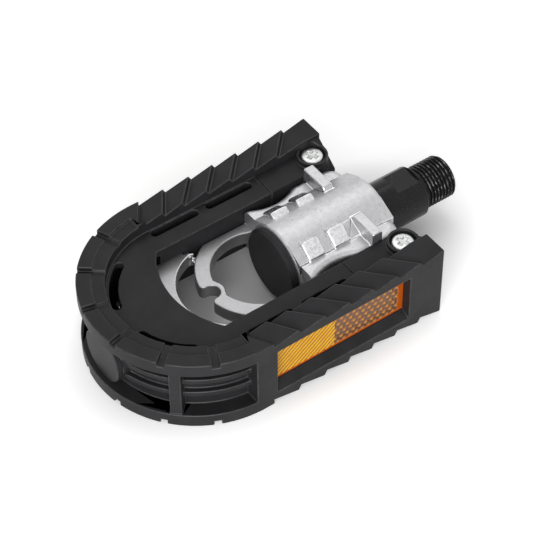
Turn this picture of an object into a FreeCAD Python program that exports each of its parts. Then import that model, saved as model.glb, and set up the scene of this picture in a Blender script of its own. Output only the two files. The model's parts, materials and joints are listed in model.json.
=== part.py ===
import FreeCAD, Part
import math
import os

import Sketcher

# Folding bicycle pedal, right-hand side of the frame's +X axis towards the crank.
# The origin is on the spindle's axis at the shoulder that seats on the crank arm. +Z is up.
# A "set" is a distance from that shoulder towards the outboard end, so it lies at x = -set.

doc = FreeCAD.newDocument("folding_pedal")
sheet = doc.addObject("Spreadsheet::Sheet", "sizes")

# Driving dimensions in millimetres, degrees and counts
SIZES = [
    ("thread_radius", 7.14, "9/16 inch pedal thread, outside"),
    ("thread_length", 12.2, "thread that goes into the crank"),
    ("thread_chamfer", 0.8, "lead-in at the thread's end"),
    ("collar_radius", 8.5, "round collar outboard of the shoulder"),
    ("flat_half", 7.5, "half of the 15 mm wrench size"),
    ("flat_set", 0.4, "start of the wrench flats"),
    ("flat_length", 8.8, "length of the wrench flats"),
    ("tail_radius", 4.0, "threaded tail for cone and lock nut"),
    ("ball_radius", 1.985, "5/32 inch balls"),
    ("ball_ring", 7.2, "radius of the circle of ball centres"),
    ("ball_count", 10, "balls in each row"),
    ("ball_play", 0.06, "play between ball and race"),
    ("inboard_ball_inset", 6.3, "inboard row behind the barrel's inboard face"),
    ("outboard_ball_inset", 11.2, "outboard row behind the barrel's outboard face"),
    ("cup_radius", 11.0, "outside of the pressed cups"),
    ("cup_rim", 2.0, "cup rim past the ball centres"),
    ("cup_wall", 1.5, "floor of a cup"),
    ("cup_clear", 1.0, "room between cup floor and shaft"),
    ("cone_flange", 8.0, "outside of the adjustable cone"),
    ("cone_flange_length", 1.5, "length of the cone's flange"),
    ("cone_lead", 1.4, "cone race past the ball centres"),
    ("cone_stand", 0.3, "gap between shaft shoulder and cone"),
    ("washer_radius", 7.2, "keyed washer"),
    ("washer_thick", 1.0, "keyed washer"),
    ("washer_play", 0.1, "washer bore over the tail"),
    ("nut_across", 13.0, "lock nut across its flats"),
    ("nut_thick", 3.5, "lock nut"),
    ("tail_past_nut", 0.7, "tail past the lock nut"),
    ("seal_inset", 0.4, "seal behind the barrel's face"),
    ("seal_length", 1.7, "inboard seal"),
    ("seal_play", 0.08, "seal lip over the collar"),
    ("body_set", 17.0, "inboard face of the barrel"),
    ("barrel_length", 36.0, "barrel"),
    ("barrel_sink", 0.3, "barrel below the treads"),
    ("barrel_edge", 1.2, "rounded rim of the barrel"),
    ("bore_middle", 9.3, "bore between the cups"),
    ("block_half_height", 8.2, "side block of the body"),
    ("block_inset", 0.8, "side block behind the barrel's faces"),
    ("block_edge", 2.4, "rounded upper and lower edges of the side block"),
    ("block_corner", 5.0, "rounded inboard corners of the side block"),
    ("scallop_depth", 2.4, "hollow in the sides of the block"),
    ("scallop_lead", 1.4, "hollow behind the block's outboard face"),
    ("scallop_past_hinge", 4.6, "hollow outboard of the fold's axis"),
    ("scallop_end", 3.0, "rounded ends of the hollow"),
    ("shoulder_inner", 5.5, "where the sloping shoulders leave the barrel"),
    ("shoulder_outer", 12.0, "outer edge of the shoulders"),
    ("shoulder_drop", 4.6, "outer edge of the shoulders below the barrel's top"),
    ("shoulder_inset", 0.4, "shoulders behind the barrel's faces"),
    ("side_gap", 0.3, "between the body and the cage's arms"),
    ("grip_length", 5.3, "grip block along the barrel"),
    ("grip_count", 2, "grip blocks in a row, evenly spaced from ear to barrel end"),
    ("grip_inner", 6.7, "inner foot of a grip block"),
    ("grip_crest", 8.8, "inner edge of the flat top of a grip block"),
    ("grip_outer", 9.8, "outer side of a grip block at its top"),
    ("grip_foot", 12.3, "outer side of a grip block at its foot"),
    ("grip_drop", 0.2, "flat top of the grip blocks below the barrel's top"),
    ("grip_rise", 1.9, "inner slope of grip blocks and ears"),
    ("grip_depth", 5.8, "how far a grip block goes down"),
    ("grip_edge", 0.5, "rounded edges of grip blocks and ears"),
    ("ear_inset", 11.0, "middle of the ears from the barrel's inboard face"),
    ("ear_length", 3.5, "ear along the barrel"),
    ("ear_inner", 6.2, "inner foot of an ear"),
    ("ear_crest", 7.8, "inner edge of the flat top of an ear"),
    ("ear_depth", 7.8, "how far an ear goes down"),
    ("ear_drop", 0.3, "top of the ears below the barrel's top"),
    ("loop_offset", 6.3, "middle of the finger loop from the barrel's end"),
    ("loop_past_side", 2.0, "round outside of the loop past the body's flat sides"),
    ("loop_wall", 5.0, "loop from inside to outside"),
    ("loop_thick", 5.0, "loop and latch plate"),
    ("loop_edge", 0.5, "rounded edges of the loop"),
    ("notch_half", 2.6, "half width of the loop's notch"),
    ("notch_depth", 4.9, "depth of the loop's notch"),
    ("notch_neck", 1.7, "metal left behind the notch"),
    ("notch_corner", 1.6, "rounded mouth of the notch"),
    ("cap_step", 1.0, "dust cap smaller than the barrel"),
    ("cap_thick", 2.3, "dust cap past the barrel"),
    ("cap_edge", 0.8, "rounded rim of the dust cap"),
    ("cap_skirt", 2.6, "dust cap's skirt inside the bore"),
    ("cap_skirt_wall", 1.2, "wall of the skirt"),
    ("hinge_inset", 12.8, "axis of the fold from the barrel's inboard face"),
    ("pin_radius", 3.5, "hinge pins"),
    ("pin_play", 0.1, "hinge pins in their bearings"),
    ("pin_depth", 6.3, "hinge pin inside the body"),
    ("pin_reach", 7.6, "hinge pin inside the cage's arm"),
    ("pin_end_play", 0.4, "bearing past the pin's end"),
    ("cage_lead", 0.4, "arms past the barrel's inboard face"),
    ("end_offset", 22.7, "centre of the round end from the loop's centre"),
    ("plate_width", 8.9, "recessed plate between opening and tread"),
    ("cage_half_height", 13.5, "treads above and below the axis"),
    ("tread_width", 8.6, "treads and end rim"),
    ("recess_depth", 4.5, "recessed plate below the treads"),
    ("plate_thick", 2.5, "plates over the latch"),
    ("opening_half", 18.0, "half width of the opening"),
    ("opening_arc_offset", 1.0, "centre of the opening's round end from the loop's centre"),
    ("opening_arc", 30.0, "radius of the opening's round end"),
    ("tooth_pitch", 8.82, "from one tread step to the next"),
    ("tooth_depth", 1.8, "height of a tread step"),
    ("tooth_slant", 34.0, "angle of the steps across the arm"),
    ("slot_inset", 1.9, "middle of the slots from the treads"),
    ("slot_half", 1.4, "half width of the slots"),
    ("slot_lead", 2.7, "first slot from the hinge cap"),
    ("slot_length", 17.0, "each slot"),
    ("slot_land", 3.0, "between the two slots"),
    ("arc_slot_inset", 0.9, "curved slots in the end plate from the rim"),
    ("arc_slot_width", 2.8, "curved slots"),
    ("arc_slot_from", 16.0, "angle where a curved slot starts"),
    ("arc_slot_to", 54.0, "angle where a curved slot ends"),
    ("rim_lip", 4.7, "thickness of the end rim"),
    ("rim_step_width", 4.0, "lower inner band of the end rim"),
    ("rim_step_drop", 0.9, "drop of that band"),
    ("groove_half", 1.1, "half width of the rim's radial grooves"),
    ("groove_depth", 1.6, "depth of the rim's radial grooves"),
    ("groove_count", 6, "radial grooves on each face"),
    ("groove_spread", 130.0, "angle from the first groove to the last"),
    ("web_inset", 7.5, "inside of the end wall behind the rim"),
    ("web_thick", 2.5, "end wall"),
    ("end_inset", 3.0, "start of the end windows past the arms"),
    ("fin_level", 2.7, "middle of the fins above and below the axis"),
    ("fin_thick", 1.8, "fins in the end windows"),
    ("fin_inset", 3.2, "fins behind the rim"),
    ("pillar_angle", 45.0, "pillars in the end windows"),
    ("pillar_half", 1.8, "half width of a pillar"),
    ("pillar_inset", 0.6, "pillars behind the rim"),
    ("window_inset", 12.5, "reflector windows from the arms' inboard ends"),
    ("window_length", 48.7, "reflector windows"),
    ("window_half", 6.9, "half height of the reflector's seat"),
    ("window_bevel", 2.1, "bevel above and below the window"),
    ("lens_recess", 3.0, "lens behind the arm's side"),
    ("lens_thick", 2.2, "reflector lens"),
    ("back_thick", 1.6, "reflector backing"),
    ("lens_gap", 0.15, "around lens and backing"),
    ("hinge_cap_length", 12.0, "hinge caps past the axis of the fold"),
    ("hinge_cap_gap", 0.15, "around the hinge caps"),
    ("screw_inset", 5.4, "hinge screws from the barrel's inboard face"),
    ("screw_radius", 2.0, "M4 shank"),
    ("screw_play", 0.2, "shank in its hole"),
    ("boss_radius", 5.0, "boss round a hinge screw"),
    ("boss_drop", 2.5, "boss below the treads"),
    ("head_radius", 3.8, "screw head"),
    ("head_height", 2.2, "screw head"),
    ("head_sink", 2.6, "seat of the screw head in its boss"),
    ("nose_drop", 1.1, "sloped nose of an arm below the treads"),
    ("nose_fall", 7.0, "fall of that slope towards the opening"),
    ("nose_gap", 0.4, "nose behind the arm's end"),
    ("head_room", 0.4, "counterbore round the head"),
    ("hex_across", 7.0, "M4 nut across its flats"),
    ("hex_thick", 3.2, "M4 nut"),
    ("hex_play", 0.1, "nut in its pocket"),
    ("latch_arc_offset", 9.9, "centre of the finger edge from the loop's centre"),
    ("finger_rise", 0.6, "radius of the finger edge past its outer ends"),
    ("prong_inset", 1.3, "outer ends of the finger edge from the body's sides"),
    ("nib_angle", 49.0, "noses of the prongs round the loop"),
    ("nib_radius", 1.2, "nose of a prong"),
    ("nib_half_height", 0.9, "half thickness of a nose"),
    ("nib_play", 0.35, "nose in the loop's pocket"),
    ("prong_clear", 0.9, "prong tip from the loop's rim"),
    ("prong_turn", 1.5, "angle from a nose to its prong's tip"),
    ("prong_span", 2.0, "angle across a prong's tip"),
    ("shoulder_offset", 15.5, "stop shoulders of the latch plate from the loop's centre"),
    ("tail_offset", 37.5, "outboard end of the latch plate from the loop's centre"),
    ("latch_corner", 5.0, "cut corners of the tail"),
    ("latch_play", 0.3, "latch plate in its guides"),
    ("guide_depth", 1.2, "guide grooves in the arms"),
    ("latch_travel", 5.0, "pull of the latch"),
    ("rail_inner", 9.0, "rails above and below the latch"),
    ("rail_width", 3.0, "rails"),
    ("spring_radius", 3.0, "latch spring outside"),
    ("spring_wire", 0.8, "latch spring wire"),
    ("spring_room", 0.5, "spring in the tail's notch"),
    ("spring_notch", 6.0, "depth of the tail's notch"),
    ("spring_length", 14.5, "latch spring as fitted"),
    ("plug_room", 0.2, "end plug between the rims"),
    ("plug_gap", 0.15, "between the end plug and the fins"),
    ("plug_inset", 1.6, "outer face of the end plug behind the rim"),
    ("plug_thick", 2.0, "disc of the end plug"),
    ("plug_stem", 4.5, "stem of the end plug"),
    ("plug_play", 0.1, "stem in the end wall"),
    ("bite", 1.0, "how far a cutting shape passes a face"),
]


class Size:
    """A value of the sheet, or a sum of such values, with the expression that gives it."""

    def __init__(self, text, value):
        self.text = text
        self.value = float(value)

    def __add__(self, other):
        other = as_size(other)
        return Size("(%s + %s)" % (self.text, other.text), self.value + other.value)

    def __sub__(self, other):
        other = as_size(other)
        return Size("(%s - %s)" % (self.text, other.text), self.value - other.value)

    def __mul__(self, other):
        other = as_size(other)
        return Size("(%s * %s)" % (self.text, other.text), self.value * other.value)

    def __truediv__(self, other):
        other = as_size(other)
        return Size("(%s / %s)" % (self.text, other.text), self.value / other.value)

    def __neg__(self):
        return Size("(0 - %s)" % self.text, -self.value)

    __radd__ = __add__
    __rmul__ = __mul__


def as_size(value):
    return value if isinstance(value, Size) else Size("%.10g" % value, value)


def root(size):
    return Size("sqrt(%s)" % size.text, math.sqrt(size.value))


def sine(angle):
    return Size("sin(%s)" % angle.text, math.sin(math.radians(angle.value)))


def cosine(angle):
    return Size("cos(%s)" % angle.text, math.cos(math.radians(angle.value)))


def tangent(angle):
    return Size("tan(%s)" % angle.text, math.tan(math.radians(angle.value)))


def leg(hypotenuse, other):
    """The second short side of a right triangle."""
    return root(hypotenuse * hypotenuse - other * other)


def round_point(centre_set, radius, angle):
    """A point round (-centre_set, 0), the angle counted from the outboard direction."""
    return (-(centre_set + radius * cosine(angle)), radius * sine(angle))


class Sizes:
    """The named driving dimensions."""


s = Sizes()
for row, (alias, value, note) in enumerate(SIZES, start=1):
    sheet.set("A%d" % row, note)
    sheet.set("B%d" % row, str(value))
    sheet.setAlias("B%d" % row, alias)
    setattr(s, alias, Size("sizes.%s" % alias, value))
doc.recompute()


# Sketches and features

def origin_plane(body, role):
    return next(item for item in body.Origin.OriginFeatures if item.Role == role)


def new_body(name):
    body = doc.addObject("PartDesign::Body", name)
    body.Label = name
    return body


def new_sketch(body, name, role, lift=None, shift=None):
    """A sketch on an origin plane, lifted along the plane's normal and shifted along its first axis."""
    sketch = body.newObject("Sketcher::SketchObject", name)
    sketch.AttachmentSupport = [(origin_plane(body, role), "")]
    sketch.MapMode = "FlatFace"
    if lift is not None:
        sketch.setExpression("AttachmentOffset.Base.z", lift.text)
    if shift is not None:
        sketch.setExpression("AttachmentOffset.Base.x", shift.text)
    return sketch


def hold(sketch, kind, geometry, vertex, size):
    """Ties one coordinate of a sketch point to the sheet."""
    size = as_size(size)
    number = sketch.addConstraint(Sketcher.Constraint(kind, -1, 1, geometry, vertex, size.value))
    if "sizes." in size.text:
        sketch.setExpression("Constraints[%d]" % number, size.text)


def arc_between(start, end, through):
    """An arc counted anticlockwise, and whether it runs from start to end."""
    whole = Part.Circle(start, through, end)
    centre = whole.Center
    forward = (through - start).cross(end - through).z > 0
    angles = [math.atan2(point.y - centre.y, point.x - centre.x) for point in (start, end)]
    first, last = angles if forward else reversed(angles)
    if last < first:
        last += 2 * math.pi
    circle = Part.Circle(centre, FreeCAD.Vector(0, 0, 1), whole.Radius)
    return Part.ArcOfCircle(circle, first, last), forward


def outline(sketch, corners, arcs=None):
    """A closed outline through the corners. arcs: side number -> (x of the centre, a point on the arc)."""
    arcs = arcs or {}
    corners = [(as_size(x), as_size(y)) for x, y in corners]
    points = [FreeCAD.Vector(x.value, y.value, 0) for x, y in corners]
    ends = []
    for number, start in enumerate(points):
        end = points[(number + 1) % len(points)]
        if number in arcs:
            through_x, through_y = arcs[number][1]
            through = FreeCAD.Vector(as_size(through_x).value, as_size(through_y).value, 0)
            arc, forward = arc_between(start, end, through)
            geometry = sketch.addGeometry(arc, False)
            ends.append((geometry, 1, 2) if forward else (geometry, 2, 1))
        else:
            geometry = sketch.addGeometry(Part.LineSegment(start, end), False)
            ends.append((geometry, 1, 2))
    for number, (geometry, first, last) in enumerate(ends):
        following = ends[(number + 1) % len(ends)]
        joint = Sketcher.Constraint("Coincident", geometry, last, following[0], following[1])
        sketch.addConstraint(joint)
    for number, (geometry, first, last) in enumerate(ends):
        hold(sketch, "DistanceX", geometry, first, corners[number][0])
        hold(sketch, "DistanceY", geometry, first, corners[number][1])
    for number in arcs:
        hold(sketch, "DistanceX", ends[number][0], 3, arcs[number][0])


def box(sketch, x_low, x_high, y_low, y_high):
    outline(sketch, [(x_low, y_low), (x_high, y_low), (x_high, y_high), (x_low, y_high)])


def disc(sketch, x, y, radius):
    x, y = as_size(x), as_size(y)
    centre = FreeCAD.Vector(x.value, y.value, 0)
    geometry = sketch.addGeometry(Part.Circle(centre, FreeCAD.Vector(0, 0, 1), radius.value), False)
    hold(sketch, "DistanceX", geometry, 3, x)
    hold(sketch, "DistanceY", geometry, 3, y)
    number = sketch.addConstraint(Sketcher.Constraint("Radius", geometry, radius.value))
    sketch.setExpression("Constraints[%d]" % number, radius.text)


def hexagon(sketch, x, y, across):
    """A hexagon with two corners on its x axis."""
    corner = across / root(as_size(3))
    turns = [as_size(60 * number) for number in range(6)]
    outline(sketch, [(x + corner * cosine(turn), y + corner * sine(turn)) for turn in turns])


def pad(body, sketch, length, both_sides=False):
    feature = body.newObject("PartDesign::Pad", sketch.Name + "_pad")
    feature.Profile = sketch
    feature.SideType = "Symmetric" if both_sides else "One side"
    feature.setExpression("Length", as_size(length).text)
    body.Tip = feature
    return feature


def pocket(body, sketch, length, both_sides=False):
    """A cut along the sketch plane's normal, or to both sides of it."""
    feature = body.newObject("PartDesign::Pocket", sketch.Name + "_cut")
    feature.Profile = sketch
    feature.SideType = "Symmetric" if both_sides else "One side"
    feature.Reversed = not both_sides
    feature.setExpression("Length", as_size(length).text)
    body.Tip = feature
    return feature


def revolve(body, sketch, axis="H_Axis"):
    feature = body.newObject("PartDesign::Revolution", sketch.Name + "_turn")
    feature.Profile = sketch
    feature.ReferenceAxis = (sketch, [axis])
    feature.Angle = 360
    body.Tip = feature
    return feature


def mirror(body, name, features, role):
    feature = body.newObject("PartDesign::Mirrored", name)
    feature.Originals = features
    feature.MirrorPlane = (origin_plane(body, role), [""])
    body.Tip = feature
    return feature


def dress(body, kind, name, size, wanted):
    """A fillet or chamfer on the edges that pass the test."""
    doc.recompute()
    base = body.Tip
    names = ["Edge%d" % number for number, edge in enumerate(base.Shape.Edges, start=1) if wanted(edge)]
    if not names:
        raise RuntimeError("no edges for " + name)
    feature = body.newObject("PartDesign::" + kind, name)
    feature.Base = (base, names)
    feature.setExpression("Radius" if kind == "Fillet" else "Size", size.text)
    body.Tip = feature
    return feature


def turned_piece(name, corners):
    """A solid of revolution about the spindle's axis from (x, radius) corners."""
    body = new_body(name)
    sketch = new_sketch(body, name + "_profile", "XZ_Plane")
    outline(sketch, corners)
    revolve(body, sketch)
    return body


def near_copy(source, name):
    """The same piece on the -Y side."""
    copy = doc.addObject("Part::Mirroring", name)
    copy.Label = name
    copy.Source = source
    copy.Normal = FreeCAD.Vector(0, 1, 0)
    copy.Base = FreeCAD.Vector(0, 0, 0)
    return copy


# Millimetres within which two coordinates count as one when edges are picked
NEAR = 0.01


def at(edge, **limits):
    """Whether an edge's middle lies at the given coordinates."""
    middle = edge.valueAt((edge.FirstParameter + edge.LastParameter) / 2)
    return all(abs(getattr(middle, axis) - value) < NEAR for axis, value in limits.items())


def along(edge, axis):
    """Whether an edge runs along one axis."""
    box_of = edge.BoundBox
    spans = {"x": box_of.XLength, "y": box_of.YLength, "z": box_of.ZLength}
    length = spans.pop(axis)
    return length > NEAR and max(spans.values()) < NEAR


# Values worked out from the driving dimensions

barrel_end_set = s.body_set + s.barrel_length
inboard_ball_set = s.body_set + s.inboard_ball_inset
outboard_ball_set = barrel_end_set - s.outboard_ball_inset
ball_room = s.ball_radius + s.ball_play
race_radius = s.ball_ring - ball_room
corner_room = ball_room * (math.sqrt(2) - 1)
cone_sum = ball_room * math.sqrt(2)
cone_face_set = outboard_ball_set - s.cone_lead
cone_end_set = outboard_ball_set + cone_sum + s.cone_flange - s.ball_ring + s.cone_flange_length
washer_end_set = cone_end_set + s.washer_thick
nut_end_set = washer_end_set + s.nut_thick
tail_end_set = nut_end_set + s.tail_past_nut

barrel_radius = s.cage_half_height - s.barrel_sink
cap_radius = barrel_radius - s.cap_step
grip_top = barrel_radius - s.grip_drop
ear_set = s.body_set + s.ear_inset
grip_room = barrel_end_set - ear_set - s.ear_length / 2
grip_land = (grip_room - s.grip_length * s.grip_count) / (s.grip_count + 1)
grip_pitch = s.grip_length + grip_land
ear_top = barrel_radius - s.ear_drop
shoulder_top = leg(barrel_radius, s.shoulder_inner)
shoulder_low = barrel_radius - s.shoulder_drop
body_half_width = s.opening_half - s.side_gap
hinge_set = s.body_set + s.hinge_inset
scallop_start_set = hinge_set + s.scallop_past_hinge
scallop_end_set = barrel_end_set - s.block_inset - s.scallop_lead
loop_set = barrel_end_set + s.loop_offset
loop_radius = body_half_width + s.loop_past_side
loop_hole = loop_radius - s.loop_wall
loop_half = s.loop_thick / 2
notch_centre_set = loop_set + loop_radius - s.notch_depth + s.notch_half

cage_set = s.body_set - s.cage_lead
end_set = loop_set + s.end_offset
tread_inner = s.opening_half + s.plate_width
cage_half_width = tread_inner + s.tread_width
plate_half_height = s.cage_half_height - s.recess_depth
hollow_half = plate_half_height - s.plate_thick
opening_arc_set = loop_set + s.opening_arc_offset
hinge_cap_set = hinge_set + s.hinge_cap_length
slot_set = hinge_cap_set + s.slot_lead
slot_offset = tread_inner - s.slot_inset
arc_slot_outer = tread_inner - s.arc_slot_inset
arc_slot_inner = arc_slot_outer - s.arc_slot_width
lip_under = s.cage_half_height - s.rim_lip
web_inner = cage_half_width - s.web_inset
web_outer = web_inner + s.web_thick
window_set = cage_set + s.window_inset
screw_set = s.body_set + s.screw_inset
screw_offset = s.opening_half + s.boss_radius
boss_top = s.cage_half_height - s.boss_drop
head_seat = boss_top - s.head_sink

latch_arc_set = loop_set + s.latch_arc_offset
prong_root = body_half_width - s.prong_inset
latch_arc = prong_root + s.finger_rise
latch_shoulder = loop_set + s.shoulder_offset
latch_tail = loop_set + s.tail_offset
guide_half = loop_half + s.latch_play
spring_start_set = latch_tail - s.spring_notch
spring_end_set = spring_start_set + s.spring_length
nib_centre = round_point(loop_set, loop_radius + s.nib_play / 2, s.nib_angle)
plug_radius = lip_under - s.plug_room
plug_face_set = end_set + cage_half_width - s.plug_inset
plug_seat_set = plug_face_set - s.plug_thick


# Spindle group

def make_spindle():
    """One turned steel piece with two milled flats."""
    collar_end = inboard_ball_set + s.ball_ring - cone_sum - s.collar_radius
    race_start = inboard_ball_set - corner_room
    shaft_end = cone_face_set - s.cone_stand
    body = turned_piece("spindle", [
        (s.thread_length, 0),
        (s.thread_length, s.thread_radius - s.thread_chamfer),
        (s.thread_length - s.thread_chamfer, s.thread_radius),
        (0, s.thread_radius),
        (0, s.collar_radius),
        (-collar_end, s.collar_radius),
        (-race_start, race_radius),
        (-shaft_end, race_radius),
        (-shaft_end, s.tail_radius),
        (-tail_end_set, s.tail_radius),
        (-tail_end_set, 0),
    ])
    flats = new_sketch(body, "wrench_flats", "XZ_Plane")
    for side in (1, -1):
        low = s.flat_half * side
        high = (s.collar_radius + s.bite) * side
        box(flats, -(s.flat_set + s.flat_length), -s.flat_set, low, high)
    pocket(body, flats, s.collar_radius * 2 + s.bite, both_sides=True)
    return body


def make_outboard_cone():
    flange_set = cone_end_set - s.cone_flange_length
    return turned_piece("outboard_cone", [
        (-cone_face_set, s.tail_radius),
        (-cone_face_set, race_radius),
        (-(outboard_ball_set + corner_room), race_radius),
        (-flange_set, s.cone_flange),
        (-cone_end_set, s.cone_flange),
        (-cone_end_set, s.tail_radius),
    ])


def make_keyed_washer():
    bore = s.tail_radius + s.washer_play
    return turned_piece("keyed_washer", [
        (-cone_end_set, bore),
        (-cone_end_set, s.washer_radius),
        (-washer_end_set, s.washer_radius),
        (-washer_end_set, bore),
    ])


def make_lock_nut():
    body = new_body("lock_nut")
    profile = new_sketch(body, "lock_nut_hexagon", "YZ_Plane", lift=-nut_end_set)
    hexagon(profile, as_size(0), as_size(0), s.nut_across)
    disc(profile, 0, 0, s.tail_radius)
    pad(body, profile, s.nut_thick)
    return body


# Bearings

def make_cup(name, ball_set, way):
    """A pressed cup round one row of balls. way is 1 where its floor is outboard of the balls."""
    inner = s.ball_ring + ball_room
    rim = ball_set - s.cup_rim * way
    floor = ball_set + ball_room * way
    back = floor + s.cup_wall * way
    return turned_piece(name, [
        (-rim, s.cup_radius),
        (-rim, inner),
        (-(ball_set + corner_room * way), inner),
        (-floor, s.ball_ring + corner_room),
        (-floor, race_radius + s.cup_clear),
        (-back, race_radius + s.cup_clear),
        (-back, s.cup_radius),
    ])


def make_balls(name, ball_set):
    """One row of loose balls."""
    balls = []
    count = int(s.ball_count.value)
    for number in range(count):
        ball = doc.addObject("Part::Sphere", "%s_%d" % (name, number))
        ball.setExpression("Radius", s.ball_radius.text)
        turn = as_size(360) * number / s.ball_count
        ball.setExpression("Placement.Base.x", (-ball_set).text)
        ball.setExpression("Placement.Base.y", (s.ball_ring * sine(turn)).text)
        ball.setExpression("Placement.Base.z", (s.ball_ring * cosine(turn)).text)
        balls.append(ball)
    row = doc.addObject("Part::Compound", name)
    row.Label = name
    row.Links = balls
    return row


def make_inboard_seal():
    start = s.body_set + s.seal_inset
    lip = s.collar_radius + s.seal_play
    return turned_piece("inboard_seal", [
        (-start, lip),
        (-start, s.cup_radius),
        (-(start + s.seal_length), s.cup_radius),
        (-(start + s.seal_length), lip),
    ])


# Body group

def make_body():
    """The die-cast body: loop plate, side block, shoulders, barrel, grips and ears, then bore and pockets."""
    body = new_body("body")
    loop = new_sketch(body, "loop_disc", "XY_Plane")
    disc(loop, -loop_set, 0, loop_radius)
    pad(body, loop, s.loop_thick, both_sides=True)
    plate = new_sketch(body, "loop_plate", "XY_Plane")
    box(plate, -loop_set, -(barrel_end_set - s.loop_thick), -body_half_width, body_half_width)
    pad(body, plate, s.loop_thick, both_sides=True)
    for side in (1, -1):
        trim = new_sketch(body, "loop_side_%s" % ("far" if side > 0 else "near"), "XY_Plane")
        low = body_half_width * side
        high = (loop_radius + s.bite) * side
        reach = loop_radius + s.bite
        box(trim, -(loop_set + reach), -(loop_set - reach), low, high)
        pocket(body, trim, s.loop_thick + s.bite, both_sides=True)
    hole = new_sketch(body, "loop_hole_disc", "XY_Plane")
    disc(hole, -loop_set, 0, loop_hole)
    pocket(body, hole, s.loop_thick + s.bite, both_sides=True)
    neck = new_sketch(body, "notch_neck_round", "XY_Plane")
    neck_radius = s.notch_half + s.notch_neck
    outline(neck, [(-notch_centre_set, -neck_radius), (-notch_centre_set, neck_radius)],
            {0: (-notch_centre_set, (neck_radius - notch_centre_set, 0))})
    pad(body, neck, s.loop_thick, both_sides=True)
    notch = new_sketch(body, "notch_outline", "XY_Plane")
    mouth = loop_set + loop_radius + s.notch_neck + s.bite
    outline(notch, [
        (-notch_centre_set, s.notch_half),
        (-mouth, s.notch_half),
        (-mouth, -s.notch_half),
        (-notch_centre_set, -s.notch_half),
    ], {3: (-notch_centre_set, (-(notch_centre_set - s.notch_half), 0))})
    pocket(body, notch, s.loop_thick + s.bite, both_sides=True)
    for side in (1, -1):
        nib = new_sketch(body, "nib_pocket_%s" % ("far" if side > 0 else "near"), "XY_Plane")
        disc(nib, nib_centre[0], nib_centre[1] * side, s.nib_radius + s.nib_play)
        pocket(body, nib, (s.nib_half_height + s.nib_play) * 2, both_sides=True)
    dress(body, "Fillet", "notch_mouth", s.notch_corner, is_notch_mouth)
    dress(body, "Fillet", "loop_edges", s.loop_edge, is_loop_edge)

    block = new_sketch(body, "side_block", "XY_Plane")
    inboard = s.body_set + s.block_inset
    outboard = barrel_end_set - s.block_inset
    box(block, -outboard, -inboard, -body_half_width, body_half_width)
    pad(body, block, s.block_half_height * 2, both_sides=True)
    for side in (1, -1):
        hollow = new_sketch(body, "scallop_%s" % ("far" if side > 0 else "near"), "XY_Plane")
        scallop(hollow, side)
        pocket(body, hollow, s.block_half_height * 2 + s.bite, both_sides=True)
    dress(body, "Fillet", "block_corners", s.block_corner,
          lambda edge: along(edge, "z") and at(edge, x=-inboard.value, z=0))
    dress(body, "Fillet", "scallop_ends", s.scallop_end, is_scallop_end)
    dress(body, "Fillet", "block_edges", s.block_edge, is_block_edge)
    shoulders = new_sketch(body, "shoulders", "YZ_Plane", lift=-(barrel_end_set - s.shoulder_inset))
    upper = [(-s.shoulder_outer, shoulder_low), (-s.shoulder_inner, shoulder_top),
             (s.shoulder_inner, shoulder_top), (s.shoulder_outer, shoulder_low)]
    lower = [(y, -z) for y, z in reversed(upper)]
    outline(shoulders, upper + lower)
    pad(body, shoulders, s.barrel_length - s.shoulder_inset * 2)

    barrel = new_sketch(body, "barrel_profile", "XZ_Plane")
    inner_x = -(s.body_set + s.barrel_edge)
    outer_x = -(barrel_end_set - s.barrel_edge)
    rim = barrel_radius - s.barrel_edge
    lean = s.barrel_edge * math.sqrt(0.5)
    outline(barrel, [
        (-s.body_set, 0), (-s.body_set, rim), (inner_x, barrel_radius),
        (outer_x, barrel_radius), (-barrel_end_set, rim), (-barrel_end_set, 0),
    ], {1: (inner_x, (inner_x + lean, rim + lean)), 3: (outer_x, (outer_x - lean, rim + lean))})
    revolve(body, barrel)

    for number in range(int(s.grip_count.value)):
        outer_face = barrel_end_set - grip_land - grip_pitch * number
        grip = new_sketch(body, "grip_%d" % number, "YZ_Plane", lift=-outer_face)
        for side, face in ((1, 1), (1, -1), (-1, 1), (-1, -1)):
            across = (s.grip_inner, s.grip_crest, s.grip_outer, s.grip_foot)
            grip_section(grip, across, grip_top, s.grip_depth, side, face)
        pad(body, grip, s.grip_length)
    ears = new_sketch(body, "ears", "YZ_Plane", lift=-(ear_set + s.ear_length / 2))
    for side, face in ((1, 1), (1, -1), (-1, 1), (-1, -1)):
        across = (s.ear_inner, s.ear_crest, body_half_width, body_half_width)
        grip_section(ears, across, ear_top, s.ear_depth, side, face)
    pad(body, ears, s.ear_length)
    dress(body, "Fillet", "grip_edges", s.grip_edge, is_grip_edge)

    bore = new_sketch(body, "bore_profile", "XZ_Plane")
    inboard_floor = inboard_ball_set + ball_room + s.cup_wall
    outboard_floor = outboard_ball_set - ball_room - s.cup_wall
    outline(bore, [
        (-(s.body_set - s.bite), 0),
        (-(s.body_set - s.bite), s.cup_radius),
        (-inboard_floor, s.cup_radius),
        (-inboard_floor, s.bore_middle),
        (-outboard_floor, s.bore_middle),
        (-outboard_floor, s.cup_radius),
        (-(barrel_end_set + s.bite), s.cup_radius),
        (-(barrel_end_set + s.bite), 0),
    ])
    groove = body.newObject("PartDesign::Groove", "bore_turn")
    groove.Profile = bore
    groove.ReferenceAxis = (bore, ["H_Axis"])
    groove.Angle = 360
    body.Tip = groove
    for side in (1, -1):
        name = "pin_hole_%s" % ("far" if side > 0 else "near")
        wall = body_half_width - s.pin_depth
        seat = new_sketch(body, name, "XZ_Plane", lift=-wall if side > 0 else wall)
        disc(seat, -hinge_set, 0, s.pin_radius)
        cut = pocket(body, seat, s.pin_depth + s.bite)
        cut.Reversed = side < 0
    return body


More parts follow.
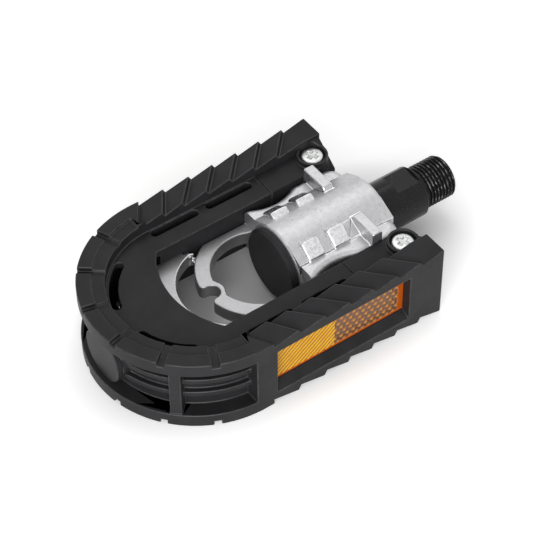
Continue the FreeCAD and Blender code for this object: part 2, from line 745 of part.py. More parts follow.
def is_notch_mouth(edge):
    """The two upright corners where the notch meets the loop's outside."""
    point = edge.CenterOfMass
    outer = math.hypot(point.x + loop_set.value, point.y)
    on_rim = abs(outer - loop_radius.value) < NEAR
    return along(edge, "z") and on_rim and abs(point.y) < s.notch_half.value + NEAR


def is_loop_edge(edge):
    """The upper and lower edges round the loop, outboard of the barrel and not behind the notch."""
    point = edge.CenterOfMass
    on_face = edge.BoundBox.ZLength < NEAR and abs(abs(point.z) - loop_half.value) < NEAR
    notch_floor = -(notch_centre_set.value - s.notch_half.value)
    behind_notch = abs(point.y) < NEAR and point.x > notch_floor
    return on_face and not behind_notch and edge.BoundBox.XMin < -barrel_end_set.value


def scallop(sketch, side):
    """A shallow round hollow in one side of the block, as two arcs that meet at its deepest point."""
    middle = (scallop_start_set + scallop_end_set) / 2
    half = (scallop_end_set - scallop_start_set) / 2
    radius = (half * half + s.scallop_depth * s.scallop_depth) / (s.scallop_depth * 2)
    floor = body_half_width - s.scallop_depth
    between = (floor + radius - leg(radius, half / 2)) * side
    wall = body_half_width * side
    past = (body_half_width + s.bite) * side
    outline(sketch, [
        (-scallop_end_set, wall), (-scallop_end_set, past),
        (-scallop_start_set, past), (-scallop_start_set, wall), (-middle, floor * side),
    ], {3: (-middle, (half / 2 - middle, between)), 4: (-middle, (-half / 2 - middle, between))})


def is_scallop_end(edge):
    """The upright edges where a hollow meets the flat side of the block."""
    point = edge.CenterOfMass
    ends = (scallop_start_set.value, scallop_end_set.value)
    on_side = abs(abs(point.y) - body_half_width.value) < NEAR
    return along(edge, "z") and on_side and min(abs(point.x + end) for end in ends) < NEAR


def is_block_edge(edge):
    """The upper and lower edges along the block's sides and hollows."""
    point = edge.CenterOfMass
    on_face = edge.BoundBox.ZLength < NEAR and abs(abs(point.z) - s.block_half_height.value) < NEAR
    return on_face and abs(point.y) > (body_half_width - s.scallop_depth).value - NEAR


def is_grip_edge(edge):
    """The edges round the flat tops of the grip blocks and ears."""
    point = edge.CenterOfMass
    on_grip = abs(abs(point.z) - grip_top.value) < NEAR and abs(point.y) > s.grip_crest.value - NEAR
    on_ear = abs(abs(point.z) - ear_top.value) < NEAR and abs(point.y) > s.ear_crest.value - NEAR
    return edge.BoundBox.ZLength < NEAR and (on_grip or on_ear)


def grip_section(sketch, across, top, depth, side, face):
    """A grip block or ear seen along the barrel: an inner slope, a flat top and an outer side.
    across: the distances of the inner foot, the top's two edges and the outer foot from the middle."""
    inner, crest, outer, foot = across
    base = top - depth
    corners = [(inner, base), (inner, top - s.grip_rise), (crest, top), (outer, top), (foot, base)]
    outline(sketch, [(y * side, z * face) for y, z in corners])


def make_dust_cap():
    skirt_set = barrel_end_set - s.cap_skirt
    face_set = barrel_end_set + s.cap_thick
    inner = s.cup_radius - s.cap_skirt_wall
    return turned_piece("dust_cap", [
        (-barrel_end_set, 0),
        (-barrel_end_set, inner),
        (-skirt_set, inner),
        (-skirt_set, s.cup_radius),
        (-barrel_end_set, s.cup_radius),
        (-barrel_end_set, cap_radius),
        (-(face_set - s.cap_edge), cap_radius),
        (-face_set, cap_radius - s.cap_edge),
        (-face_set, 0),
    ])


def make_hinge_pin():
    pin = doc.addObject("Part::Cylinder", "hinge_pin_far")
    pin.Label = "hinge_pin_far"
    pin.setExpression("Radius", s.pin_radius.text)
    pin.setExpression("Height", (s.pin_depth + s.side_gap + s.pin_reach).text)
    pin.Placement = FreeCAD.Placement(FreeCAD.Vector(), FreeCAD.Rotation(FreeCAD.Vector(1, 0, 0), -90))
    pin.setExpression("Placement.Base.x", (-hinge_set).text)
    pin.setExpression("Placement.Base.y", (body_half_width - s.pin_depth).text)
    return pin


# Cage group

def nose_section(sketch, outer, side):
    """The end of an arm's hinge half (upper for side 1): its top slopes down towards the opening."""
    high = s.cage_half_height - s.nose_drop
    low = high - s.nose_fall
    outline(sketch, [(s.opening_half, 0), (outer, 0), (outer, high * side), (s.opening_half, low * side)])


def half_ring(sketch, inner, outer, start_set):
    """The part of a ring round the cage's end that lies outboard of start_set."""
    offset = start_set - end_set
    outer_y = leg(outer, offset)
    inner_y = leg(inner, offset)
    outline(sketch, [
        (-start_set, outer_y),
        (-start_set, -outer_y),
        (-start_set, -inner_y),
        (-start_set, inner_y),
    ], {0: (-end_set, (-(end_set + outer), 0)), 2: (-end_set, (-(end_set + inner), 0))})


def half_disc(sketch, radius, start_set):
    """The part of a disc round the cage's end that lies outboard of start_set."""
    edge = leg(radius, start_set - end_set)
    outline(sketch, [(-start_set, edge), (-start_set, -edge)], {0: (-end_set, (-(end_set + radius), 0))})


def tread_profile(sketch, side):
    """The saw-tooth air above (side 1) or below (side -1) the treads, seen from the side."""
    count = int((end_set.value - cage_set.value) // s.tooth_pitch.value)
    top = s.cage_half_height * side
    air = (s.cage_half_height + s.bite) * side
    valley = (s.cage_half_height - s.tooth_depth) * side
    corners = [(-cage_set, air), (-cage_set, top)]
    for number in range(1, count + 1):
        step = -(cage_set + s.tooth_pitch * number)
        corners.append((step, valley))
        corners.append((step, top if number < count else air))
    outline(sketch, corners)


def make_cage():
    """The nylon cage: solid outline, recesses and opening, end windows and fins, treads and seats."""
    body = new_body("cage")
    height = s.cage_half_height * 2
    arms = new_sketch(body, "arms", "XY_Plane")
    box(arms, -end_set, -cage_set, -cage_half_width, cage_half_width)
    pad(body, arms, height, both_sides=True)
    end = new_sketch(body, "round_end", "XY_Plane")
    disc(end, -end_set, 0, cage_half_width)
    pad(body, end, height, both_sides=True)

    recess_depth = s.cage_half_height - plate_half_height + s.bite
    recess = new_sketch(body, "recess", "XY_Plane", lift=plate_half_height)
    box(recess, -end_set, -(cage_set - s.bite), -tread_inner, tread_inner)
    recess_cut = pocket(body, recess, recess_depth)
    end_recess = new_sketch(body, "end_recess", "XY_Plane", lift=plate_half_height)
    disc(end_recess, -end_set, 0, tread_inner)
    end_recess_cut = pocket(body, end_recess, recess_depth)
    band = new_sketch(body, "rim_band", "XY_Plane", lift=s.cage_half_height - s.rim_step_drop)
    half_ring(band, tread_inner - s.rim_step_drop, tread_inner + s.rim_step_width, end_set + s.end_inset)
    band_cut = pocket(body, band, s.rim_step_drop + s.bite)
    mirror(body, "lower_recesses", [recess_cut, end_recess_cut, band_cut], "XY_Plane")

    opening = new_sketch(body, "opening", "XY_Plane")
    straight_end = opening_arc_set + leg(s.opening_arc, s.opening_half)
    outline(opening, [
        (-straight_end, s.opening_half),
        (-straight_end, -s.opening_half),
        (-(cage_set - s.bite), -s.opening_half),
        (-(cage_set - s.bite), s.opening_half),
    ], {0: (-opening_arc_set, (-(opening_arc_set + s.opening_arc), 0))})
    pocket(body, opening, height + s.bite, both_sides=True)

    hollow = new_sketch(body, "latch_room", "XY_Plane")
    half_disc(hollow, web_inner, end_set + s.bite)
    pocket(body, hollow, hollow_half * 2, both_sides=True)
    window = new_sketch(body, "end_window", "XY_Plane")
    half_ring(window, web_outer, cage_half_width + s.bite, end_set + s.end_inset)
    pocket(body, window, lip_under * 2, both_sides=True)
    fins = new_sketch(body, "fins", "XY_Plane", lift=s.fin_level - s.fin_thick / 2)
    half_ring(fins, web_outer - s.bite, cage_half_width - s.fin_inset, end_set + s.end_inset - s.bite)
    upper_fin = pad(body, fins, s.fin_thick)
    mirror(body, "lower_fin", [upper_fin], "XY_Plane")
    pillar = new_sketch(body, "pillar", "XY_Plane")
    side_x = s.pillar_half * sine(s.pillar_angle)
    side_y = s.pillar_half * cosine(s.pillar_angle)
    foot = round_point(end_set, web_inner + s.bite, s.pillar_angle)
    crown = round_point(end_set, cage_half_width - s.pillar_inset, s.pillar_angle)
    outline(pillar, [
        (foot[0] + side_x, foot[1] + side_y),
        (foot[0] - side_x, foot[1] - side_y),
        (crown[0] - side_x, crown[1] - side_y),
        (crown[0] + side_x, crown[1] + side_y),
    ])
    far_pillar = pad(body, pillar, (lip_under + s.bite) * 2, both_sides=True)

    rails = new_sketch(body, "rails", "XY_Plane", lift=guide_half)
    rail_start = opening_arc_set + s.opening_arc + s.bite
    rail_end = rail_start + latch_tail - latch_arc_set - latch_arc + s.latch_travel
    box(rails, -rail_end, -rail_start, s.rail_inner, s.rail_inner + s.rail_width)
    far_rail = pad(body, rails, hollow_half - guide_half + s.plate_thick / 2)
    mirror(body, "near_pillar_and_rail", [far_pillar, far_rail], "XZ_Plane")
    lower_rails = new_sketch(body, "lower_rails", "XY_Plane", lift=-(hollow_half + s.plate_thick / 2))
    for side in (1, -1):
        box(lower_rails, -rail_end, -rail_start, s.rail_inner * side, (s.rail_inner + s.rail_width) * side)
    pad(body, lower_rails, hollow_half - guide_half + s.plate_thick / 2)

    plug_boss = new_sketch(body, "plug_boss", "YZ_Plane", lift=-plug_seat_set)
    disc(plug_boss, 0, 0, plug_radius)
    pad(body, plug_boss, plug_seat_set - end_set - leg(web_outer, plug_radius) + s.web_thick / 2)
    plug_well = new_sketch(body, "plug_well", "YZ_Plane", lift=-(end_set + cage_half_width + s.bite))
    disc(plug_well, 0, 0, plug_radius + s.plug_gap)
    pocket(body, plug_well, end_set + cage_half_width + s.bite - plug_seat_set)
    plug_hole = new_sketch(body, "plug_hole", "YZ_Plane", lift=-(plug_seat_set + s.bite))
    disc(plug_hole, 0, 0, s.plug_stem + s.plug_play)
    pocket(body, plug_hole, plug_seat_set + s.bite - end_set - web_inner + s.web_thick)

    far_cuts = []
    slots = new_sketch(body, "slots", "XY_Plane")
    for number in (0, 1):
        start = slot_set + (s.slot_length + s.slot_land) * number
        inboard_x = -(start + s.slot_half)
        outboard_x = -(start + s.slot_length - s.slot_half)
        outline(slots, [
            (inboard_x, slot_offset + s.slot_half), (outboard_x, slot_offset + s.slot_half),
            (outboard_x, slot_offset - s.slot_half), (inboard_x, slot_offset - s.slot_half),
        ], {1: (outboard_x, (outboard_x - s.slot_half, slot_offset)),
            3: (inboard_x, (inboard_x + s.slot_half, slot_offset))})
    far_cuts.append(pocket(body, slots, height, both_sides=True))
    arc_slot = new_sketch(body, "arc_slot", "XY_Plane")
    middle_angle = (s.arc_slot_from + s.arc_slot_to) / 2
    half = s.arc_slot_width / 2
    start = round_point(end_set, arc_slot_inner + half, s.arc_slot_from)
    start_tip = (start[0] - half * sine(s.arc_slot_from), start[1] - half * cosine(s.arc_slot_from))
    stop = round_point(end_set, arc_slot_inner + half, s.arc_slot_to)
    stop_tip = (stop[0] + half * sine(s.arc_slot_to), stop[1] + half * cosine(s.arc_slot_to))
    outline(arc_slot, [
        round_point(end_set, arc_slot_inner, s.arc_slot_from),
        round_point(end_set, arc_slot_inner, s.arc_slot_to),
        round_point(end_set, arc_slot_outer, s.arc_slot_to),
        round_point(end_set, arc_slot_outer, s.arc_slot_from),
    ], {0: (-end_set, round_point(end_set, arc_slot_inner, middle_angle)),
        1: (stop[0], stop_tip),
        2: (-end_set, round_point(end_set, arc_slot_outer, middle_angle)),
        3: (start[0], start_tip)})
    far_cuts.append(pocket(body, arc_slot, height, both_sides=True))
    window_seat = new_sketch(body, "reflector_window", "YZ_Plane", lift=-(window_set + s.window_length))
    bevel_y = cage_half_width - s.lens_recess
    back_y = bevel_y - s.lens_thick - s.back_thick
    slope = s.window_bevel / s.lens_recess
    flare = s.window_half + s.window_bevel + s.bite * slope
    outline(window_seat, [
        (back_y, s.window_half), (bevel_y, s.window_half), (cage_half_width + s.bite, flare),
        (cage_half_width + s.bite, -flare), (bevel_y, -s.window_half), (back_y, -s.window_half),
    ])
    far_cuts.append(pocket(body, window_seat, s.window_length))

    treads = new_sketch(body, "treads", "XZ_Plane", lift=-(cage_half_width + s.bite))
    for side in (1, -1):
        tread_profile(treads, side)
    tread_cut = pocket(body, treads, s.tread_width + s.bite)
    tread_cut.UseCustomVector = True
    tread_cut.AlongSketchNormal = True
    slant = FreeCAD.Vector(math.tan(math.radians(s.tooth_slant.value)), 1, 0)
    tread_cut.Direction = slant
    tread_cut.setExpression("Direction.x", tangent(s.tooth_slant).text)
    far_cuts.append(tread_cut)

    nose = new_sketch(body, "nose_cut", "XY_Plane")
    box(nose, -screw_set, -(cage_set - s.bite), s.opening_half - s.bite, tread_inner)
    far_cuts.append(pocket(body, nose, height, both_sides=True))
    cap_seat = new_sketch(body, "hinge_cap_seat", "XY_Plane")
    box(cap_seat, -hinge_cap_set, -screw_set, s.opening_half - s.bite, tread_inner)
    far_cuts.append(pocket(body, cap_seat, s.cage_half_height))
    lower_nose = new_sketch(body, "lower_nose", "YZ_Plane", lift=-screw_set)
    nose_section(lower_nose, tread_inner + s.bite, -1)
    far_cuts.append(pad(body, lower_nose, screw_set - cage_set - s.nose_gap))
    lower_boss = new_sketch(body, "lower_boss", "XY_Plane", lift=-boss_top)
    disc(lower_boss, -screw_set, screw_offset, s.boss_radius)
    far_cuts.append(pad(body, lower_boss, boss_top))
    screw_hole = new_sketch(body, "screw_hole", "XY_Plane", lift=-(boss_top + s.bite))
    disc(screw_hole, -screw_set, screw_offset, s.screw_radius + s.screw_play)
    far_cuts.append(pocket(body, screw_hole, boss_top + s.bite * 2))
    nut_pocket = new_sketch(body, "nut_pocket", "XY_Plane", lift=-(boss_top + s.bite))
    hexagon(nut_pocket, -screw_set, screw_offset, s.hex_across + s.hex_play * 2)
    far_cuts.append(pocket(body, nut_pocket, s.hex_thick + s.bite))
    mirror(body, "near_side", far_cuts, "XZ_Plane")

    bearing = new_sketch(body, "bearing", "XZ_Plane")
    disc(bearing, -hinge_set, 0, s.pin_radius + s.pin_play)
    pocket(body, bearing, (s.opening_half + s.pin_reach + s.pin_end_play) * 2, both_sides=True)
    guide = new_sketch(body, "guide", "XY_Plane")
    guide_edge = s.opening_half + s.guide_depth
    guide_start = latch_shoulder - s.latch_play
    box(guide, -(end_set + s.bite * 2), -guide_start, -guide_edge, guide_edge)
    pocket(body, guide, guide_half * 2, both_sides=True)
    for face in (1, -1):
        plane_lift = (s.cage_half_height - s.groove_depth) if face > 0 else -(s.cage_half_height + s.bite)
        name = "rim_groove_%s" % ("upper" if face > 0 else "lower")
        groove = new_sketch(body, name, "XY_Plane", lift=plane_lift, shift=-end_set)
        half_spread = s.groove_spread / 2
        groove.setExpression("AttachmentOffset.Rotation.Angle", (-half_spread).text)
        box(groove, -(cage_half_width + s.bite), -(tread_inner - s.bite), -s.groove_half, s.groove_half)
        first = pocket(body, groove, s.groove_depth + s.bite)
        pattern = body.newObject("PartDesign::PolarPattern", name + "s")
        pattern.Originals = [first]
        pattern.Axis = (groove, ["N_Axis"])
        pattern.setExpression("Angle", s.groove_spread.text)
        pattern.setExpression("Occurrences", s.groove_count.text)
        body.Tip = pattern
    return body


def make_hinge_cap():
    """The upper half of a hinge bearing with the boss of its screw."""
    body = new_body("hinge_cap_far")
    outer = tread_inner - s.hinge_cap_gap
    slab = new_sketch(body, "cap_slab", "XY_Plane")
    box(slab, -(hinge_cap_set - s.hinge_cap_gap), -screw_set, s.opening_half, outer)
    pad(body, slab, plate_half_height)
    nose = new_sketch(body, "cap_nose", "YZ_Plane", lift=-screw_set)
    nose_section(nose, outer, 1)
    pad(body, nose, screw_set - cage_set - s.nose_gap)
    boss = new_sketch(body, "cap_boss", "XY_Plane")
    disc(boss, -screw_set, screw_offset, s.boss_radius)
    pad(body, boss, boss_top)
    trim = new_sketch(body, "cap_trim", "XY_Plane", lift=-s.bite)
    box(trim, -(screw_set + s.boss_radius * 2), -(cage_set - s.bite), outer, outer + s.boss_radius * 2)
    pocket(body, trim, boss_top + s.bite * 2)
    hole = new_sketch(body, "cap_hole", "XY_Plane", lift=-s.bite)
    disc(hole, -screw_set, screw_offset, s.screw_radius + s.screw_play)
    pocket(body, hole, boss_top + s.bite * 2)
    counterbore = new_sketch(body, "cap_counterbore", "XY_Plane", lift=head_seat)
    disc(counterbore, -screw_set, screw_offset, s.head_radius + s.head_room)
    pocket(body, counterbore, boss_top)
    bearing = new_sketch(body, "cap_bearing", "XZ_Plane")
    disc(bearing, -hinge_set, 0, s.pin_radius + s.pin_play)
    pocket(body, bearing, (s.opening_half + s.pin_reach + s.pin_end_play) * 2, both_sides=True)
    return body


def make_hinge_screw():
    """A pan-head screw, its head on the cap and its shank through the nut."""
    body = new_body("hinge_screw_far")
    tip = boss_top
    edge = s.head_height / 2
    profile = new_sketch(body, "screw_profile", "XZ_Plane", lift=-screw_offset, shift=-screw_set)
    outline(profile, [
        (0, -tip),
        (s.screw_radius, -tip),
        (s.screw_radius, head_seat),
        (s.head_radius, head_seat),
        (s.head_radius, head_seat + edge),
        (s.head_radius - edge, head_seat + s.head_height),
        (0, head_seat + s.head_height),
    ])
    revolve(body, profile, "V_Axis")
    return body


def make_hinge_nut():
    body = new_body("hinge_nut_far")
    profile = new_sketch(body, "hinge_nut_hexagon", "XY_Plane", lift=-boss_top)
    hexagon(profile, -screw_set, screw_offset, s.hex_across)
    disc(profile, -screw_set, screw_offset, s.screw_radius)
    pad(body, profile, s.hex_thick)
    return body


def make_reflector_piece(name, front, thick):
    """A plate of the far reflector from its front face inwards."""
    body = new_body(name)
    face = new_sketch(body, name + "_face", "XZ_Plane", lift=-front)
    half = s.window_half - s.lens_gap
    box(face, -(window_set + s.window_length - s.lens_gap), -(window_set + s.lens_gap), -half, half)
    pad(body, face, thick)
    return body


def make_end_plug():
    """The round disc at the end; its stem carries the latch spring."""
    return turned_piece("end_plug", [
        (-plug_face_set, 0),
        (-plug_face_set, plug_radius),
        (-plug_seat_set, plug_radius),
        (-plug_seat_set, s.plug_stem),
        (-spring_end_set, s.plug_stem),
        (-spring_end_set, 0),
    ])


def make_latch_spring():
    """The outer shape of the coil spring between the latch plate and the plug's stem."""
    start = spring_start_set
    inner = s.spring_radius - s.spring_wire
    return turned_piece("latch_spring", [
        (-start, inner),
        (-start, s.spring_radius),
        (-spring_end_set, s.spring_radius),
        (-spring_end_set, inner),
    ])


def make_latch_plate():
    """A flat plate with a hollow finger edge, two prongs and a notch for its spring."""
    body = new_body("latch_plate")
    arc_end_x = -(latch_arc_set + leg(latch_arc, prong_root))
    tip_radius = loop_radius + s.prong_clear
    nose_in = round_point(loop_set, tip_radius, s.nib_angle + s.prong_turn)
    nose_out = round_point(loop_set, tip_radius + s.nib_play, s.nib_angle + s.prong_turn + s.prong_span)
    edge = s.opening_half + s.guide_depth - s.latch_play
    inner_edge = body_half_width
    spring_half = s.spring_radius + s.spring_room
    corner_set = latch_tail - s.latch_corner
    far_side = [
        (arc_end_x, prong_root),
        nose_in,
        nose_out,
        (-latch_shoulder + s.nib_radius, inner_edge),
        (-latch_shoulder, inner_edge),
        (-latch_shoulder, edge),
        (-corner_set, edge),
        (-latch_tail, edge - s.latch_corner),
        (-latch_tail, spring_half),
        (-spring_start_set, spring_half),
    ]
    near_side = [(x, -y) for x, y in reversed(far_side)]
    plate = new_sketch(body, "latch_outline", "XY_Plane")
    finger_side = len(far_side) + len(near_side) - 1
    outline(plate, far_side + near_side,
            {finger_side: (-latch_arc_set, (-(latch_arc_set + latch_arc), 0))})
    pad(body, plate, s.loop_thick, both_sides=True)
    for side in (1, -1):
        nib = new_sketch(body, "nib_%s" % ("far" if side > 0 else "near"), "XY_Plane")
        disc(nib, nib_centre[0], nib_centre[1] * side, s.nib_radius)
        pad(body, nib, s.nib_half_height * 2, both_sides=True)
    return body


def make_all():
    """Every sub-part, in the order of the report's list."""
    pieces = [make_spindle(), make_outboard_cone(), make_keyed_washer(), make_lock_nut()]
    pieces.append(make_body())
    pieces.append(make_cup("inboard_cup", inboard_ball_set, 1))
    pieces.append(make_balls("inboard_balls", inboard_ball_set))
    pieces.append(make_cup("outboard_cup", outboard_ball_set, -1))
    pieces.append(make_balls("outboard_balls", outboard_ball_set))
    pieces += [make_inboard_seal(), make_dust_cap()]
    lens_front = cage_half_width - s.lens_recess
    paired = [
        make_hinge_pin(), make_hinge_cap(), make_hinge_screw(), make_hinge_nut(),
        make_reflector_piece("reflector_lens_far", lens_front, s.lens_thick),
        make_reflector_piece("reflector_back_far", lens_front - s.lens_thick, s.back_thick),
    ]
    for far in paired:
        pieces += [far, near_copy(far, far.Label.replace("_far", "_near"))]
    pieces.append(make_cage())
    pieces += [make_end_plug(), make_latch_spring(), make_latch_plate()]
    return pieces


parts = make_all()
doc.recompute()
failed = [item.Label for item in doc.Objects if {"Invalid", "Error"} & set(item.State)]
failed += [part.Label for part in parts if part.Shape.isNull() or not part.Shape.isValid()]
if failed:
    raise RuntimeError("failed: " + ", ".join(failed))

os.makedirs("parts", exist_ok=True)
for part in parts:
    part.Shape.exportStep("parts/%s.step" % part.Label)
    print(part.Label, len(part.Shape.Solids), "solids", round(part.Shape.Volume, 1), "mm3")
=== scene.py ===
"""Folding pedal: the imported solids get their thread, recesses, coil, prisms, roofed grips, slanted tread
steps, soft edges, finishes and a studio."""

import json

import bmesh
import bpy
import numpy as np
from bpy.props import FloatProperty, FloatVectorProperty, IntProperty, PointerProperty
from mathutils import Matrix, Vector


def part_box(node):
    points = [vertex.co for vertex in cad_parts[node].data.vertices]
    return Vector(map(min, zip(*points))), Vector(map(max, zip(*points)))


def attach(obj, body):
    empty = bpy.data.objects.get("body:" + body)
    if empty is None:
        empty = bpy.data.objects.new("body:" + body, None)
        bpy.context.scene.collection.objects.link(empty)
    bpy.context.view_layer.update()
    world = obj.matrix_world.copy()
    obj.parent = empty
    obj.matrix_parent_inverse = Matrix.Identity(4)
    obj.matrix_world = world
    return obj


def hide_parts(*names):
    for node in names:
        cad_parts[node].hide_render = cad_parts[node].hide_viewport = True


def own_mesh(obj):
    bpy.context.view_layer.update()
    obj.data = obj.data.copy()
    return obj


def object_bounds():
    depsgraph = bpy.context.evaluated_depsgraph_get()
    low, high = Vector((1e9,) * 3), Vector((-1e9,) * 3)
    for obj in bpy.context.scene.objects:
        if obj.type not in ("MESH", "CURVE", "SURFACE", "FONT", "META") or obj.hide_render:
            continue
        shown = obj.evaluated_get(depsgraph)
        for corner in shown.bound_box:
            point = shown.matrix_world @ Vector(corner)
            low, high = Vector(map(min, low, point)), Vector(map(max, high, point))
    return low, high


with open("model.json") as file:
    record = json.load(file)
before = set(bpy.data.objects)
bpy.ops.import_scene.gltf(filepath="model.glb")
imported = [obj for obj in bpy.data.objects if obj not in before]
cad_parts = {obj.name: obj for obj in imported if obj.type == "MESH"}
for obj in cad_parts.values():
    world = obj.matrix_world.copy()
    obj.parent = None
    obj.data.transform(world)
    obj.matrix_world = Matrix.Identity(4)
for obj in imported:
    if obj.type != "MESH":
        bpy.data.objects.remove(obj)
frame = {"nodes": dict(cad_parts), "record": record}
CAD_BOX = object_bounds()

bl_info = {
    "name": "Folding pedal",
    "version": (1, 0, 0),
    "blender": (4, 5, 0),
    "location": "3D View > Sidebar > Pedal",
    "description": "Dresses a folding pedal: thread, recesses, coil, prisms, grips, treads, finishes",
    "category": "Object",
}

MM = 0.001
SIDES = ("far", "near")
NYLON_NODES = ("hinge_cap_far", "hinge_cap_near", "end_plug", "dust_cap")
BEARING_NODES = ("outboard_cone", "inboard_cup", "outboard_cup", "inboard_balls", "outboard_balls",
                 "hinge_pin_far", "hinge_pin_near")
PLATED_NODES = ("keyed_washer", "lock_nut", "hinge_nut_far", "hinge_nut_near")
BACK_NODES = ("reflector_back_far", "reflector_back_near")
GRIPS_IN_ROW = 2
RAKED_STEPS = 5
WIDE_SPAN = (0.3, 0.7)
TIGHT_SPAN = (0.35, 0.65)


def length_property(name, description, millimetres):
    """A length, given in millimetres, that the sidebar shows in the scene's unit."""
    return FloatProperty(name=name, description=description, default=millimetres * MM,
                         unit="LENGTH", precision=5)


def angle_property(name, description, degrees):
    """An angle, given in degrees."""
    return FloatProperty(name=name, description=description, default=np.radians(degrees), subtype="ANGLE")


def colour_property(name, description, default):
    """A colour in scene-linear values that the sidebar shows as a swatch."""
    return FloatVectorProperty(name=name, description=description, default=default, subtype="COLOR",
                               size=3, min=0.0, max=1.0)


class PedalSizes(bpy.types.PropertyGroup):
    """Sizes of the details that the dressed pedal adds to its solids."""

    thread_pitch: length_property("Thread pitch", "Advance of the crank thread in one turn", 25.4 / 20)
    thread_depth: length_property("Thread depth", "Height of the crank thread from root to crest", 0.72)
    relief_length: length_property("Relief length", "Plain neck between shoulder and thread", 1.5)
    collar_round: length_property("Collar rounding", "Rounding of the collar's two rims", 0.5)
    flat_gap: length_property("Across flats", "Distance between the two wrench flats", 15.0)
    flat_start: length_property("Flats start", "Inboard end of the wrench flats, from the shoulder", 0.4)
    flat_end: length_property("Flats end", "Outboard end of the wrench flats, from the shoulder", 9.2)
    recess_reach: length_property("Recess reach", "Length of one arm of the cross recess", 2.2)
    recess_width: length_property("Recess width", "Width of one arm of the cross recess", 1.0)
    recess_depth: length_property("Recess depth", "Depth of the cross recess at its middle", 0.6)
    spring_turns: FloatProperty(name="Spring turns", description="Turns of the spring, ends included",
                                default=9.0, min=3.0)
    wire: length_property("Spring wire", "Diameter of the latch spring's wire", 0.8)
    rib_pitch: length_property("Rib pitch", "Distance between the slanting ribs of the lens", 1.4)
    rib_slant: angle_property("Rib slant", "Angle of the ribs to the lens's long edge", 38.0)
    dot_pitch: length_property("Dot pitch", "Distance between the raised dots of the lens", 2.3)
    relief: length_property("Lens relief", "Height of the ribs and dots of the lens", 0.35)
    lens_rim: length_property("Lens rim", "Width of the plain rim round the lens", 0.8)
    lens_end: length_property("Lens end", "Width of the plain rim at the lens's inboard end", 2.0)
    lens_split: FloatProperty(name="Lens split", description="Share of the lens's length that has ribs",
                              default=0.47, min=0.0, max=1.0, subtype="FACTOR")
    grip_length: length_property("Grip length", "Grip block along the barrel", 6.4)
    grip_middle: length_property("Grip middle", "Middle of the outboard grips from the shoulder", 46.3)
    grip_pitch: length_property("Grip pitch", "Distance between the grips in a row", 9.5)
    grip_crest: length_property("Grip crest", "Crest of a grip from the pedal's middle plane", 7.9)
    grip_top: length_property("Grip top", "Crest of a grip above the spindle's axis", 13.0)
    grip_foot: length_property("Grip foot", "Outer foot of a grip from the pedal's middle plane", 12.3)
    grip_slope: angle_property("Grip slope", "Fall of a grip's outer face", 38.0)
    tread_edge: length_property("Tread edge", "Outer edge of the treads from the middle plane", 35.5)
    tread_foot: length_property("Tread foot", "Foot of the tread steps above the spindle's axis", 11.7)
    tread_pitch: length_property("Tread pitch", "From one tread step to the next", 8.82)
    first_step: length_property("First step", "Solid's first tread step from the shoulder", 26.09)
    solid_slant: angle_property("Solid slant", "Slant of the solid's steps across an arm", 34.0)
    step_slant: angle_property("Step slant", "Slant of the drawn steps across an arm", 43.3)
    step_lead: length_property("Step lead", "Drawn steps nearer the crank at the outer edge", 0.7)
    riser_run: length_property("Riser run", "Lean of a step's riser from its crest to its foot", 1.0)
    moulded_edge: length_property("Moulded edge", "Rounding of the nylon's sharp edges", 0.28)
    cast_edge: length_property("Cast edge", "Rounding of the casting's sharp edges", 0.35)
    edge_steps: IntProperty(name="Edge steps", description="Facets across one rounded edge",
                            default=2, min=1)


class PedalColours(bpy.types.PropertyGroup):
    """Colours of the pedal's finishes and of the studio."""

    nylon: colour_property("Nylon", "Moulded black nylon", (0.022, 0.022, 0.0235))
    casting: colour_property("Casting", "Tumbled die-cast aluminium", (0.53, 0.53, 0.54))
    oxide: colour_property("Black oxide", "Blackened steel of the spindle", (0.012, 0.012, 0.013))
    # Pale crests of the crank thread: bare metal in part and painted highlight in part.
    bare_and_lit_crest: colour_property("Bare steel", "Rubbed crests of the crank thread", (0.30, 0.30, 0.30))
    bearing: colour_property("Bearing steel", "Ground steel of races, balls and pins", (0.55, 0.55, 0.56))
    zinc: colour_property("Zinc", "Plated screws, nuts, washer and spring", (0.66, 0.67, 0.66))
    # Painted shade for the bottom of the cross recesses.
    recess: colour_property("Recess", "Dull bottom of the screws' cross recesses", (0.46, 0.47, 0.46))
    rubber: colour_property("Rubber", "Black rubber of the seal", (0.020, 0.020, 0.020))
    # Crest colours carry a painted highlight and root colours a painted shade of the lens's relief.
    lit_rib_crest: colour_property("Rib crest", "Crests of the ribbed half of the lens", (0.82, 0.47, 0.008))
    shaded_rib_root: colour_property("Rib root", "Grooves of the ribbed half of the lens", (0.28, 0.10, 0.008))
    lit_dot_crest: colour_property("Dot crest", "Dots of the other half of the lens", (0.64, 0.27, 0.040))
    shaded_dot_root: colour_property("Dot root", "Ground between the dots of the lens", (0.085, 0.050, 0.028))
    lens_rim: colour_property("Lens rim", "Plain rim of the lens", (0.48, 0.085, 0.003))
    lens_back: colour_property("Lens back", "Backing plate behind the lens", (0.45, 0.16, 0.03))
    floor: colour_property("Floor", "Pale studio floor", (0.92, 0.92, 0.92))


def sizes():
    """The sidebar's sizes."""
    return bpy.context.scene.pedal_sizes


def colours():
    """The sidebar's colours."""
    return bpy.context.scene.pedal_colours


def smooth_step(value):
    """Zero below 0, one above 1, and an S curve of third degree between."""
    held = np.clip(value, 0.0, 1.0)
    return held * held * (3.0 - 2.0 * held)


